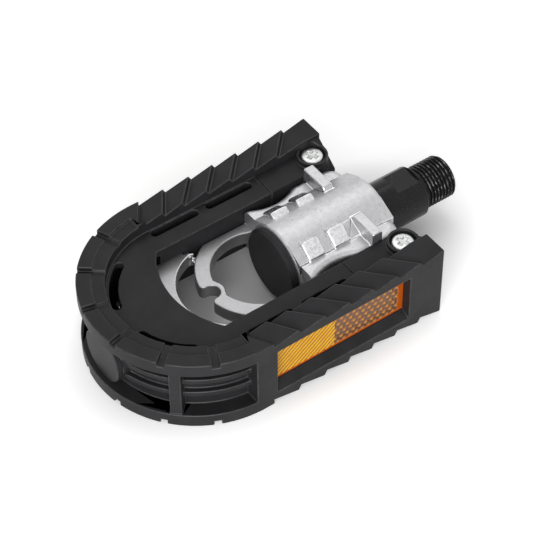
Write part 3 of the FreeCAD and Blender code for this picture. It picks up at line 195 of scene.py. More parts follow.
def skin(name, points, wrap=False, marks=None):
    """A mesh object over a grid of points: each cell of the grid is one face, wrap joins the last column
    to the first, doubled points become one, open rims are closed and the faces point outwards."""
    weld = 0.0005 * MM
    rows, columns = points.shape[:2]
    index = np.arange(rows * columns).reshape(rows, columns)
    if wrap:
        index = np.concatenate([index, index[:, :1]], axis=1)
    cells = np.stack([index[:-1, :-1], index[1:, :-1], index[1:, 1:], index[:-1, 1:]], axis=-1)
    mesh = bpy.data.meshes.new(name)
    mesh.from_pydata(points.reshape(-1, 3).tolist(), [], cells.reshape(-1, 4).tolist())
    for mark, values in (marks or {}).items():
        layer = mesh.attributes.new(mark, "FLOAT", "POINT")
        layer.data.foreach_set("value", values.reshape(-1).astype(np.float32))
    work = bmesh.new()
    work.from_mesh(mesh)
    bmesh.ops.remove_doubles(work, verts=work.verts, dist=weld)
    rims = [edge for edge in work.edges if edge.is_boundary]
    if rims:
        bmesh.ops.holes_fill(work, edges=rims)
    bmesh.ops.recalc_face_normals(work, faces=work.faces)
    work.to_mesh(mesh)
    work.free()
    return place(name, mesh)


def place(name, mesh, crease=32.0):
    """The mesh as an object at the origin, shaded smooth up to the crease angle."""
    mesh.shade_smooth()
    mesh.set_sharp_from_angle(angle=np.radians(crease))
    piece = bpy.data.objects.new(name, mesh)
    bpy.context.scene.collection.objects.link(piece)
    return piece


def dress(piece, node, *materials):
    """The piece stands for the node: it rides on its body and wears the materials."""
    bodies = frame["record"]["behaviour"]["bodies"]
    body = next(name for name, members in bodies.items() if node in members)
    piece.data.materials.clear()
    for material in materials:
        piece.data.materials.append(material)
    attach(piece, body)
    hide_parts(node)


def wear(node, material):
    """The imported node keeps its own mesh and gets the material."""
    piece = frame["nodes"][node]
    piece.data.materials.clear()
    piece.data.materials.append(material)


def read_all(items, name, width=1, kind=float):
    """One value, or a row of width values, of every item as an array."""
    values = np.empty(len(items) * width, kind)
    items.foreach_get(name, values)
    return values.reshape(-1, width) if width > 1 else values


def unit(rows):
    """The rows as vectors of length one."""
    least = 1e-12
    return rows / np.maximum(np.linalg.norm(rows, axis=1, keepdims=True), least)


def edge_room(mesh, room):
    """One for each edge to be rounded and zero for the rest. An edge is sharp where its two faces turn
    by more than a limit. It is left alone where one of its ends is tight: there two sharp edges of a
    face meet at a narrow angle, or an edge that isn't sharp is shorter than room."""
    sharp_limit, narrow_limit = np.radians((38.0, 46.0))
    points = read_all(mesh.vertices, "co", 3)
    ends = read_all(mesh.edges, "vertices", 2, int)
    normals = read_all(mesh.polygons, "normal", 3)
    counts = read_all(mesh.polygons, "loop_total", kind=int)
    firsts = read_all(mesh.polygons, "loop_start", kind=int)
    corner_point = read_all(mesh.loops, "vertex_index", kind=int)
    corner_edge = read_all(mesh.loops, "edge_index", kind=int)
    face = np.repeat(np.arange(len(counts)), counts)
    one_face = np.zeros(len(ends), int)
    one_face[corner_edge[::-1]] = face[::-1]
    other_face = np.zeros(len(ends), int)
    other_face[corner_edge] = face
    cosine = np.sum(normals[one_face] * normals[other_face], axis=1)
    sharp = np.arccos(np.clip(cosine, -1.0, 1.0)) > sharp_limit
    place_in_face = np.arange(len(face)) - firsts[face]
    before = firsts[face] + (place_in_face - 1) % counts[face]
    after = firsts[face] + (place_in_face + 1) % counts[face]
    way_out = unit(points[corner_point[after]] - points[corner_point])
    way_back = unit(points[corner_point[before]] - points[corner_point])
    narrow = np.sum(way_out * way_back, axis=1) > np.cos(narrow_limit)
    narrow &= sharp[corner_edge] & sharp[corner_edge[before]]
    lengths = np.linalg.norm(points[ends[:, 0]] - points[ends[:, 1]], axis=1)
    short = ~sharp & (lengths < room)
    tight = np.zeros(len(points), bool)
    tight[corner_point[narrow]] = True
    tight[ends[short]] = True
    return (sharp & ~tight[ends].any(axis=1)).astype(np.float32)


def soft_edged(node, width, reshape=None):
    """A copy of the node's solid as one closed skin, its flat faces joined, its points moved by reshape
    and its sharp edges rounded to width, except at corners too tight for it. The rounded edges take the
    second material."""
    weld, flat_limit, room = 0.001 * MM, np.radians(0.5), 3.0 * width
    mesh = frame["nodes"][node].data.copy()
    mesh.name = node + "_dressed"
    if "custom_normal" in mesh.attributes:
        mesh.attributes.remove(mesh.attributes["custom_normal"])
    work = bmesh.new()
    work.from_mesh(mesh)
    bmesh.ops.remove_doubles(work, verts=work.verts, dist=weld)
    bmesh.ops.dissolve_limit(work, angle_limit=flat_limit, verts=work.verts, edges=work.edges)
    work.to_mesh(mesh)
    work.free()
    if reshape:
        mesh.vertices.foreach_set("co", reshape(read_all(mesh.vertices, "co", 3)).ravel())
        mesh.update()
    share = mesh.attributes.new("bevel_weight_edge", "FLOAT", "EDGE")
    share.data.foreach_set("value", edge_room(mesh, room))
    piece = place(node + "_dressed", mesh)
    rounding = piece.modifiers.new("soft edges", "BEVEL")
    rounding.width = width
    rounding.segments = sizes().edge_steps
    rounding.limit_method = "WEIGHT"
    rounding.use_clamp_overlap = False
    rounding.material = 1
    shading = piece.modifiers.new("flat faces", "WEIGHTED_NORMAL")
    shading.keep_sharp = True
    return piece


class Finish:
    """A procedural material under construction: a principled shader read on Object coordinates."""

    def __init__(self, name):
        self.material = bpy.data.materials.new(name)
        self.material.use_nodes = True
        self.tree = self.material.node_tree
        self.shader = self.tree.nodes["Principled BSDF"]
        self.place = self.tree.nodes.new("ShaderNodeTexCoord").outputs["Object"]

    def link(self, source, target):
        """Joins an output to an input."""
        self.tree.links.new(source, target)

    def feed(self, name, source):
        """Joins an output to the shader's socket of that name."""
        self.link(source, self.shader.inputs[name])

    def set(self, **values):
        """Sets plain values on the shader's own sockets; an underscore in a name stands for a space."""
        for name, value in values.items():
            self.shader.inputs[name.replace("_", " ")].default_value = value

    def grain(self, size, detail=3.0, rough=0.55, stretch=None):
        """Noise whose features are about size across; stretch scales the coordinates along each axis."""
        source = self.place
        if stretch:
            mapping = self.tree.nodes.new("ShaderNodeMapping")
            mapping.inputs["Scale"].default_value = stretch
            self.link(source, mapping.inputs["Vector"])
            source = mapping.outputs["Vector"]
        noise = self.tree.nodes.new("ShaderNodeTexNoise")
        noise.inputs["Scale"].default_value = 1.0 / size
        noise.inputs["Detail"].default_value = detail
        noise.inputs["Roughness"].default_value = rough
        self.link(source, noise.inputs["Vector"])
        return noise.outputs["Fac"]

    def along(self, axis):
        """The distance along one of the axes X, Y and Z."""
        node = self.tree.nodes.new("ShaderNodeSeparateXYZ")
        self.link(self.place, node.inputs["Vector"])
        return node.outputs[axis]

    def mark(self, name):
        """A number that the mesh carries at each point."""
        node = self.tree.nodes.new("ShaderNodeAttribute")
        node.attribute_name = name
        return node.outputs["Fac"]

    def ramp(self, factor, low, high, start=0.0, end=1.0):
        """A number that runs from low to high while factor runs from start to end."""
        node = self.tree.nodes.new("ShaderNodeMapRange")
        node.inputs["From Min"].default_value = start
        node.inputs["From Max"].default_value = end
        node.inputs["To Min"].default_value = low
        node.inputs["To Max"].default_value = high
        self.link(factor, node.inputs["Value"])
        return node.outputs["Result"]

    def spread(self, noise, low=0.0, high=1.0, span=WIDE_SPAN):
        """A number that runs from low to high over the span in which most of a noise's values lie."""
        return self.ramp(noise, low, high, *span)

    def blend(self, factor, first, second):
        """A colour between two others; each is a colour or an output."""
        node = self.tree.nodes.new("ShaderNodeMix")
        node.data_type = "RGBA"
        self.link(factor, node.inputs["Factor"])
        for value, socket in ((first, node.inputs["A"]), (second, node.inputs["B"])):
            if isinstance(value, bpy.types.NodeSocket):
                self.link(value, socket)
            else:
                socket.default_value = (*value, 1.0)
        return node.outputs["Result"]

    def tint(self, factor, colour, darker, lighter):
        """The colour times a number that runs from darker to lighter with factor."""
        shade = [tuple(min(1.0, part * share) for part in colour) for share in (darker, lighter)]
        return self.blend(factor, shade[0], shade[1])

    def product(self, first, second):
        """One number times another."""
        node = self.tree.nodes.new("ShaderNodeMath")
        node.operation = "MULTIPLY"
        self.link(first, node.inputs[0])
        self.link(second, node.inputs[1])
        return node.outputs[0]

    def bump(self, height, depth, strength=1.0):
        """Lets the surface rise by depth where height is one."""
        node = self.tree.nodes.new("ShaderNodeBump")
        node.inputs["Strength"].default_value = strength
        node.inputs["Distance"].default_value = depth
        self.link(height, node.inputs["Height"])
        self.feed("Normal", node.outputs["Normal"])


def black_nylon():
    """Moulded nylon: near black, satin, with a fine spark-eroded grain and faint flow clouds."""
    finish = Finish("black_nylon")
    clouds = finish.grain(9.0 * MM, 2.0)
    tone = finish.tint(finish.spread(clouds), colours().nylon, 0.85, 1.2)
    finish.feed("Base Color", tone)
    grain = finish.grain(0.35 * MM, 4.0)
    finish.feed("Roughness", finish.spread(grain, 0.34, 0.52))
    finish.set(Specular_IOR_Level=0.12)
    finish.bump(grain, 0.06 * MM, 0.5)
    return finish.material


def worn_and_highlit_nylon():
    """The nylon's rounded edges: glossier than its faces and paler, partly from rubbing and partly a
    painted highlight, in scuffed patches.
    """
    finish = Finish("worn_and_highlit_nylon")
    scuff_and_sheen = finish.grain(1.8 * MM, 4.0)
    # Paler tone on the edges: painted highlight, patchy with rubbing.
    tone = finish.tint(finish.ramp(scuff_and_sheen, 0.0, 1.0, 0.4, 0.65), colours().nylon, 1.0, 2.0)
    finish.feed("Base Color", tone)
    finish.feed("Roughness", finish.spread(scuff_and_sheen, 0.30, 0.48))
    finish.set(Specular_IOR_Level=0.3)
    finish.bump(finish.grain(0.3 * MM, 3.0), 0.03 * MM, 0.3)
    return finish.material


def cast_aluminium():
    """Tumbled die casting: pale grey metal with soft mottling and pin-point pits, darker at the loop and
    latch, which lie outboard of the barrel's end."""
    pit_shade, outboard_tone, outboard_weight = 0.6, 0.62, 0.65
    darkening_start, darkening_end = -52.0 * MM, -55.0 * MM
    finish = Finish("cast_aluminium")
    mottle = finish.grain(1.6 * MM, 4.0, 0.65)
    tone = finish.tint(finish.spread(mottle), colours().casting, 0.88, 1.06)
    pits = finish.ramp(finish.grain(0.7 * MM, 2.0), 0.0, 1.0, 0.34, 0.28)
    pitted = finish.blend(pits, tone, tuple(pit_shade * part for part in colours().casting))
    # Darker towards the loop and latch, outboard of the barrel's end.
    outboard = finish.ramp(finish.along("X"), outboard_weight, 0.0, darkening_end, darkening_start)
    darker_outboard = finish.blend(outboard, pitted, tuple(outboard_tone * part for part in colours().casting))
    finish.feed("Base Color", darker_outboard)
    grain = finish.grain(0.5 * MM, 5.0, 0.6)
    finish.feed("Roughness", finish.spread(grain, 0.34, 0.54))
    finish.set(Metallic=0.95)
    finish.bump(grain, 0.05 * MM, 0.30)
    return finish.material


def worn_and_highlit_aluminium():
    """The casting's rounded edges and roofed grips: smoother than its faces and brighter, partly from
    rubbing and partly a painted highlight, nicked in small spots.
    """
    finish = Finish("worn_and_highlit_aluminium")
    nicks_and_sheen = finish.grain(0.9 * MM, 4.0)
    # Brighter tone: painted highlight, patchy with rubbing.
    tone = finish.tint(finish.ramp(nicks_and_sheen, 0.0, 1.0, 0.35, 0.6), colours().casting, 1.1, 1.45)
    finish.feed("Base Color", tone)
    finish.feed("Roughness", finish.spread(nicks_and_sheen, 0.18, 0.34))
    finish.set(Metallic=1.0)
    finish.bump(nicks_and_sheen, 0.03 * MM, 0.25)
    return finish.material


def black_oxide():
    """Blackened steel: dark and oiled, with faint turning marks round the axis, specks of dust, and crests
    of the
    thread painted pale in streaks: bare metal where rubbing wore the oxide through, and painted highlight."""
    dust_shade = 6.0
    round_axis, along_axis = (1.0, 0.04, 0.04), (0.35, 1.0, 1.0)
    finish = Finish("black_oxide")
    marks = finish.grain(0.30 * MM, 2.0, 0.5, round_axis)
    tone = finish.tint(finish.spread(marks), colours().oxide, 0.8, 1.25)
    specks = finish.ramp(finish.grain(0.45 * MM, 2.0), 0.0, 1.0, 0.66, 0.74)
    dusty = finish.blend(specks, tone, tuple(dust_shade * part for part in colours().oxide))
    streaks = finish.ramp(finish.grain(1.6 * MM, 3.0, 0.6, along_axis), 0.0, 1.0, 0.46, 0.6)
    # Pale streaks on the thread's crests: bare metal in part and painted highlight in part.
    crest_streaked = finish.blend(finish.product(finish.mark("crest_wear_and_highlight"), streaks), dusty, colours().bare_and_lit_crest)
    finish.feed("Base Color", crest_streaked)
    finish.feed("Roughness", finish.spread(marks, 0.14, 0.26))
    finish.set(Metallic=0.25, Specular_IOR_Level=0.22)
    finish.bump(marks, 0.02 * MM, 0.15)
    return finish.material


def bearing_steel():
    """Ground steel: fine grinding lines round the axis and a film of grease that dulls it in places."""
    finish = Finish("bearing_steel")
    lines = finish.grain(0.15 * MM, 2.0, 0.5, (1.0, 0.05, 0.05))
    film = finish.grain(3.0 * MM, 2.0)
    tone = finish.tint(finish.spread(film, span=TIGHT_SPAN), colours().bearing, 0.82, 1.05)
    finish.feed("Base Color", tone)
    finish.feed("Roughness", finish.spread(film, 0.14, 0.32))
    finish.set(Metallic=1.0)
    finish.bump(lines, 0.01 * MM, 0.2)
    return finish.material


def zinc_plate():
    """Zinc plating: pale metal with a cloudy passivated bloom and a slightly uneven polish."""
    finish = Finish("zinc_plate")
    bloom = finish.grain(1.2 * MM, 3.0)
    yellowing = (1.06, 1.02, 0.90)
    warm = tuple(part * share for part, share in zip(colours().zinc, yellowing))
    tone = finish.blend(finish.spread(bloom, span=TIGHT_SPAN), colours().zinc, warm)
    finish.feed("Base Color", tone)
    finish.feed("Roughness", finish.spread(bloom, 0.18, 0.36))
    finish.set(Metallic=1.0)
    finish.bump(finish.grain(0.25 * MM, 3.0), 0.02 * MM, 0.25)
    return finish.material


def zinc_head():
    """Plated screw heads: brushed zinc with a cloudy bloom, darker inside the cross recess by painted
    shade.
    """
    finish = Finish("zinc_head")
    bloom = finish.grain(1.2 * MM, 3.0)
    brush = finish.grain(0.25 * MM, 3.0, 0.5, (1.0, 0.2, 1.0))
    tone = finish.tint(finish.spread(bloom, span=TIGHT_SPAN), colours().zinc, 0.82, 1.02)
    # Painted shade in the cross recess.
    shaded_recess = finish.blend(finish.ramp(finish.mark("recess"), 0.0, 0.75), tone, colours().recess)
    finish.feed("Base Color", shaded_recess)
    finish.feed("Roughness", finish.spread(brush, 0.30, 0.46))
    finish.set(Metallic=1.0)
    finish.bump(brush, 0.03 * MM, 0.3)
    return finish.material


def black_rubber():
    """Matt rubber: near black with dusty clouds and a fine pebbled skin."""
    finish = Finish("black_rubber")
    dust = finish.grain(2.5 * MM, 3.0)
    tone = finish.tint(finish.spread(dust, span=TIGHT_SPAN), colours().rubber, 0.8, 1.6)
    finish.feed("Base Color", tone)
    finish.feed("Roughness", finish.spread(dust, 0.6, 0.8))
    finish.set(Specular_IOR_Level=0.25)
    finish.bump(finish.grain(0.2 * MM, 2.0), 0.03 * MM, 0.4)
    return finish.material


def amber_lens():
    """Clear amber under gloss: the marks crest, dotted and rim on the mesh choose between the colours of
    ribs, dots and rim; the crests are painted lighter as highlight and the roots between them darker as
    painted shade."""
    finish = Finish("amber_lens")
    crest = finish.mark("crest")
    # Lighter crests are painted highlight, darker roots painted shade.
    ribs = finish.blend(crest, colours().shaded_rib_root, colours().lit_rib_crest)
    dots = finish.blend(crest, colours().shaded_dot_root, colours().lit_dot_crest)
    field = finish.blend(finish.mark("dotted"), ribs, dots)
    tone = finish.blend(finish.mark("rim"), field, colours().lens_rim)
    depth = finish.grain(2.0 * MM, 3.0)
    shaded = finish.blend(finish.ramp(depth, 0.0, 0.25, 0.35, 0.7), tone, colours().lens_rim)
    finish.feed("Base Color", shaded)
    finish.feed("Roughness", finish.spread(depth, 0.08, 0.18))
    finish.set(Specular_IOR_Level=0.3, Coat_Weight=0.12, Coat_Roughness=0.04)
    finish.bump(finish.grain(0.3 * MM, 2.0), 0.01 * MM, 0.2)
    return finish.material


def amber_back():
    """Moulded amber plate behind the lens: matt orange-brown with faint clouds."""
    finish = Finish("amber_back")
    clouds = finish.grain(3.0 * MM, 3.0)
    tone = finish.tint(finish.spread(clouds, span=TIGHT_SPAN), colours().lens_back, 0.75, 1.1)
    finish.feed("Base Color", tone)
    finish.feed("Roughness", finish.spread(clouds, 0.4, 0.55))
    finish.bump(finish.grain(0.3 * MM, 3.0), 0.03 * MM, 0.3)
    return finish.material


def stations(corners, step):
    """Points along a bent line: each run between corners is cut into equal parts up to step long."""
    corners = np.asarray(corners, float)
    runs = np.diff(corners, axis=0)
    counts = np.maximum(1, np.ceil(np.linalg.norm(runs, axis=1) / step).astype(int))
    share = np.concatenate([np.arange(count) / count for count in counts])
    run = np.repeat(np.arange(len(counts)), counts)
    return np.concatenate([corners[run] + runs[run] * share[:, None], corners[-1:]])


def thread_drop(x, turn, start, end, pitch, depth):
    """How far a right-hand thread lies below its crest: a flat crest of an eighth and a flat root of a
    quarter of the pitch joined by straight flanks, along a helix that advances one pitch a turn, between
    start and end."""
    flat_crest, flank = 0.125, 0.625
    phase = np.mod(x / pitch - turn / (2.0 * np.pi), 1.0)
    away = np.abs(phase - 0.5) * 2.0
    drop = depth * np.clip((away - flat_crest) / flank, 0.0, 1.0)
    return np.where((x > start) & (x < end), drop, 0.0)


def spindle_skin():
    """Radius against length and angle: the turned profile of the solid, less the threads, cut back to
    the wrench flats where they run. Rows follow the profile and columns go round the axis. A mark is one
    on the crests of the crank thread, fades over a quarter of its depth and is zero elsewhere; there the
    finish paints bare metal and a painted highlight."""
    size = sizes()
    rows_per_pitch, columns = 14.0, 120
    crest_mark_depth = size.thread_depth / 4.0
    low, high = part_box("spindle")
    tip = high.x
    crest, chamfer = 7.14 * MM, 0.8 * MM
    neck = crest - size.thread_depth
    collar, soft = 8.5 * MM, size.collar_round
    rim = 0.3 * soft
    race_start, race_end = -19.11 * MM, -22.45 * MM
    shaft, shaft_end = 5.155 * MM, -40.1 * MM
    tail, tail_pitch, tail_depth, tail_edge = 4.0 * MM, 1.0 * MM, 0.5 * MM, 0.5 * MM
    cone_length = 3.0 * MM
    step = 0.02 * MM
    flat_start, flat_end = -size.flat_start - step, -size.flat_end
    corners = [
        (tip, 0.0), (tip, crest - chamfer), (tip - chamfer, crest),
        (size.relief_length + chamfer, crest), (size.relief_length, neck), (0.0, neck),
        (0.0, collar - soft), (-rim, collar - rim), (-soft, collar),
        (flat_start + step, collar), (flat_start - step, collar),
        (flat_end + step, collar), (flat_end - step, collar),
        (race_start, collar), (race_end, shaft), (shaft_end, shaft), (shaft_end, tail),
        (low.x + tail_edge, tail), (low.x, tail - tail_edge), (low.x, 0.0),
    ]
    line = stations(corners, size.thread_pitch / rows_per_pitch)
    turn = np.linspace(0.0, 2.0 * np.pi, columns, endpoint=False)
    x = np.repeat(line[:, :1], len(turn), axis=1)
    crank_cut = thread_drop(x, turn, size.relief_length, tip, size.thread_pitch, size.thread_depth)
    tail_cut = thread_drop(x, turn, low.x, shaft_end - cone_length, tail_pitch, tail_depth)
    radius = np.minimum(line[:, 1:], np.where(crank_cut > 0.0, crest - crank_cut, np.inf))
    radius = np.minimum(radius, np.where(tail_cut > 0.0, tail - tail_cut, np.inf))
    up = radius * np.sin(turn)
    half = size.flat_gap / 2.0
    up = np.where((x < flat_start) & (x > flat_end), np.clip(up, -half, half), up)
    crest_wear_and_highlight = np.where(x > size.relief_length, smooth_step(1.0 - (crest - radius) / crest_mark_depth), 0.0)
    return np.stack([x, radius * np.cos(turn), up], axis=-1), {"crest_wear_and_highlight": crest_wear_and_highlight}


def screw_skin(node):
    """A pan head turned about the screw's axis: its height over the seat is mostly the root of one less
    a high power of the radius, with a low dome on top, lowered inside two crossed bars by a depth that
    fades outwards. The mark recess is one in those bars and carries a painted shade. Rings lie closer
    towards the head's edge.
    Below the head come the shank and a blunt tip."""
    size = sizes()
    rings, crowding, columns = 80, 1.6, 128
    pan_power, outer_fade = 14, 0.45
    low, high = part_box(node)
    centre = (low + high) / 2.0
    head = (high.x - low.x) / 2.0
    rise = 2.2 * MM
    seat = high.z - rise
    dome = 0.12
    share = 1.0 - np.linspace(1.0, 0.0, rings)[:, None] ** crowding
    turn = np.linspace(0.0, 2.0 * np.pi, columns, endpoint=False)
    radius = head * share
    u = radius * np.cos(turn)
    v = radius * np.sin(turn)
    pan = (1.0 - dome) * np.sqrt(1.0 - share ** pan_power) + dome * (1.0 - share ** 2)
    twist = np.radians(20.0)
    along = np.abs(u * np.cos(twist) + v * np.sin(twist))
    aside = np.abs(v * np.cos(twist) - u * np.sin(twist))
    soft = 0.4 * MM
    half = size.recess_width / 2.0
    cross = np.maximum.reduce([
        smooth_step((half + soft - across) / soft) * smooth_step((size.recess_reach - length) / soft)
        for across, length in ((aside, along), (along, aside))
    ])
    fade = 1.0 - outer_fade * np.clip(radius / size.recess_reach, 0.0, 1.0) ** 2
    z = seat + rise * pan - size.recess_depth * fade * cross
    shank, blunt = 2.0 * MM, 0.4 * MM
    stem = np.array([(shank, seat), (shank, low.z + blunt), (shank - blunt, low.z), (0.0, low.z)])
    stem_u = stem[:, :1] * np.cos(turn)
    stem_v = stem[:, :1] * np.sin(turn)
    stem_z = np.repeat(stem[:, 1:], len(turn), axis=1)
    grid = np.concatenate([np.stack(part, axis=-1) for part in ((u, v, z), (stem_u, stem_v, stem_z))])
    recess = np.concatenate([cross, np.zeros_like(stem_z)])
    return grid + np.array([centre.x, centre.y, 0.0]), {"recess": recess}


def coil_skin():
    """A wire carried along a helix about the X axis: a share of the helix's advance is an S curve, so its
    turns lie closer at both ends, and the wire's ends are shut by a last ring of no radius."""
    size = sizes()
    rings, columns = 560, 14
    low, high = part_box("latch_spring")
    wire = size.wire / 2.0
    radius = high.z - wire
    share = np.linspace(0.0, 1.0, rings)
    angle = 2.0 * np.pi * size.spring_turns * share
    curved = 0.35
    s_curve = smooth_step((share - 0.5 / size.spring_turns) / (1.0 - 1.0 / size.spring_turns))
    advance = curved * s_curve + (1.0 - curved) * share
    x = low.x + wire + (high.x - low.x - size.wire) * advance
    out = np.stack([np.zeros_like(angle), np.cos(angle), np.sin(angle)], axis=-1)
    centre = radius * out + x[:, None] * np.array([1.0, 0.0, 0.0])
    along = np.gradient(centre, axis=0)
    side = np.cross(unit(along), out)
    round_wire = np.linspace(0.0, 2.0 * np.pi, columns, endpoint=False)[None, :, None]
    thick = np.full(len(share), wire)
    thick[[0, -1]] = 0.0
    offset = np.cos(round_wire) * out[:, None] + np.sin(round_wire) * side[:, None]
    return centre[:, None] + thick[:, None, None] * offset


def lens_skin(node):
    """A plate whose front is lowered where the crest mark is low: slanting ribs with round crests on the
    outboard share, staggered round dots on the rest, and a plain rim. The dots are the sum of three
    waves that cross at 120 degrees, which lies between -1.5 and 3. Rows run along the lens and columns
    up it, and the outermost rows and columns step back to the rear face."""
    size = sizes()
    seam, rim_height, dot_power = 0.3 * MM, 0.4, 1.5
    wave_low, wave_high = -1.5, 3.0
    low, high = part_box(node)
    front, rear = (high.y, low.y) if node.endswith("far") else (low.y, high.y)
    step = 0.12 * MM
    along = np.linspace(low.x, high.x, int((high.x - low.x) / step))
    upward = np.linspace(low.z, high.z, int((high.z - low.z) / step))
    x, z = np.meshgrid(along, upward, indexing="ij")
    from_end = x - low.x
    across_ribs = z * np.cos(size.rib_slant) - from_end * np.sin(size.rib_slant)
    ribs = 0.5 + 0.5 * np.cos(2.0 * np.pi * across_ribs / size.rib_pitch)
    dot_row = size.dot_pitch * np.sqrt(3.0) / 2.0
    waves = [np.cos(2.0 * np.pi * (from_end * np.sin(way) + z * np.cos(way)) / dot_row)
             for way in np.radians((0.0, 120.0, 240.0))]
    dots = np.clip((sum(waves) - wave_low) / (wave_high - wave_low), 0.0, 1.0) ** dot_power
    split = low.x + size.lens_split * (high.x - low.x)
    dotted = smooth_step((x - split) / seam + 0.5)
    crest = ribs * (1.0 - dotted) + dots * dotted
    from_inboard = high.x - x - size.lens_end + size.lens_rim
    from_rim = np.minimum.reduce([from_end, from_inboard, z - low.z, high.z - z])
    rim = 1.0 - smooth_step((from_rim - size.lens_rim) / seam + 0.5)
    height = crest * (1.0 - rim) + rim_height * rim
    y = front + np.sign(rear - front) * size.relief * (1.0 - height)
    grid = np.pad(np.stack([x, y, z], axis=-1), ((1, 1), (1, 1), (0, 0)), mode="edge")
    grid[[0, -1], :, 1] = rear
    grid[:, [0, -1], 1] = rear
    marks = {"crest": crest, "dotted": dotted, "rim": rim}
    padded = {name: np.pad(values, 1, mode="edge") for name, values in marks.items()}
    return grid, padded


def grip_roof(across):
    """Height of a grip's outer face: the crest's height less the face's fall from the crest outwards."""
    size = sizes()
    return size.grip_top - (across - size.grip_crest) * np.tan(size.grip_slope)


def raked_treads(points):
    """The cage's points with its tread steps slanted further across the arms and their risers leaning. A
    point is on a step where its place along the arm, less the solid's slant, is a step's. The step after
    the raked ones keeps its crest and only leans, and those beyond it stay as they are."""
    size = sizes()
    near = 0.05 * MM
    x, y, z = points.T
    inset = size.tread_edge - np.abs(y)
    from_first = -x - np.tan(size.solid_slant) * inset - size.first_step
    number = np.round(from_first / size.tread_pitch)
    on_step = np.abs(from_first - number * size.tread_pitch) < near
    on_step &= (number >= 0) & (number <= RAKED_STEPS) & (np.abs(z) > size.tread_foot - near)
    raked = on_step & (number < RAKED_STEPS)
    foot = on_step & (np.abs(z) < size.tread_foot + near)
    rake = np.tan(size.step_slant) - np.tan(size.solid_slant)
    points[:, 0] += raked * (size.step_lead - rake * inset) + foot * size.riser_run
    return points


def sunk_grips(points):
    """The casting's points with its plain grip blocks lowered to lie well inside the roofed ones."""
    size = sizes()
    sink = 0.7 * MM
    row_end = -(size.grip_middle - size.grip_pitch - size.grip_length)
    x, y, z = points.T
    lowered = np.minimum(np.abs(z), grip_roof(np.abs(y)) - sink)
    in_row = (x < row_end) & (np.abs(y) < size.grip_foot)
    points[:, 2] = np.where(in_row, np.sign(z) * lowered, z)
    return points


def grip_skin(number, side, face):
    """A roofed grip block: its section rises from the barrel to a crest, falls along the outer face and
    drops at the foot, with corners rounded by a running mean. Along the barrel the section shrinks to its
    core by the seventh root of one less the seventh power of the way from the middle. Rows run along the
    barrel."""
    size = sizes()
    rows, step = 41, 0.15 * MM
    inner, rise = 4.9 * MM, 1.75 * MM
    draft, low = 0.3 * MM, 7.6 * MM
    core = np.array([8.6, 9.0]) * MM
    power = 7.0
    window = 3
    line = stations([
        (inner - draft, low), (inner, size.grip_top - rise), (size.grip_crest, size.grip_top),
        (size.grip_foot, grip_roof(size.grip_foot)), (size.grip_foot + draft, low),
    ], step)
    padded = np.pad(line, ((window // 2, window // 2), (0, 0)), mode="edge")
    section = np.lib.stride_tricks.sliding_window_view(padded, window, axis=0).mean(axis=-1)
    way = np.sin(np.linspace(-0.5 * np.pi, 0.5 * np.pi, rows))
    shrink = (1.0 - np.abs(way) ** power) ** (1.0 / power)
    shape = core + (section - core) * shrink[:, None, None]
    x = size.grip_pitch * number - size.grip_middle + size.grip_length / 2.0 * way
    along = np.broadcast_to(x[:, None], shape.shape[:2])
    return np.stack([along, side * shape[..., 0], face * shape[..., 1]], axis=-1)


class PEDAL_OT_spindle(bpy.types.Operator):
    """Make the spindle with its crank thread, relief and wrench flats"""

    bl_idname = "pedal.spindle"
    bl_label = "Spindle"

    def execute(self, context):
        grid, marks = spindle_skin()
        dress(skin("spindle_threaded", grid, wrap=True, marks=marks), "spindle", black_oxide())
        return {"FINISHED"}


class PEDAL_OT_screws(bpy.types.Operator):
    """Make the two hinge screws with their cross recesses"""

    bl_idname = "pedal.screws"
    bl_label = "Hinge screws"

    def execute(self, context):
        plating = zinc_head()
        for side in SIDES:
            node = "hinge_screw_" + side
            grid, marks = screw_skin(node)
            dress(skin(node + "_recessed", grid, wrap=True, marks=marks), node, plating)
        return {"FINISHED"}


class PEDAL_OT_spring(bpy.types.Operator):
    """Make the coil of the latch spring at one length; the real spring shortens as the latch is pulled"""

    bl_idname = "pedal.spring"
    bl_label = "Latch spring"

    def execute(self, context):
        coil = skin("latch_spring_coil", coil_skin(), wrap=True)
        dress(coil, "latch_spring", zinc_plate())
        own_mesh(coil)
        return {"FINISHED"}


class PEDAL_OT_reflectors(bpy.types.Operator):
    """Make the two reflector lenses with ribs and dots, and finish their backing plates"""

    bl_idname = "pedal.reflectors"
    bl_label = "Reflectors"

    def execute(self, context):
        amber = amber_lens()
        for side in SIDES:
            node = "reflector_lens_" + side
            grid, marks = lens_skin(node)
            dress(skin(node + "_prisms", grid, marks=marks), node, amber)
        backing = amber_back()
        for node in BACK_NODES:
            wear(node, backing)
        return {"FINISHED"}


class PEDAL_OT_nylon(bpy.types.Operator):
    """Round and finish the moulded nylon pieces"""

    bl_idname = "pedal.nylon"
    bl_label = "Nylon pieces"

    def execute(self, context):
        finishes = black_nylon(), worn_and_highlit_nylon()
        dress(soft_edged("cage", sizes().moulded_edge, raked_treads), "cage", *finishes)
        for node in NYLON_NODES:
            dress(soft_edged(node, sizes().moulded_edge), node, *finishes)
        return {"FINISHED"}


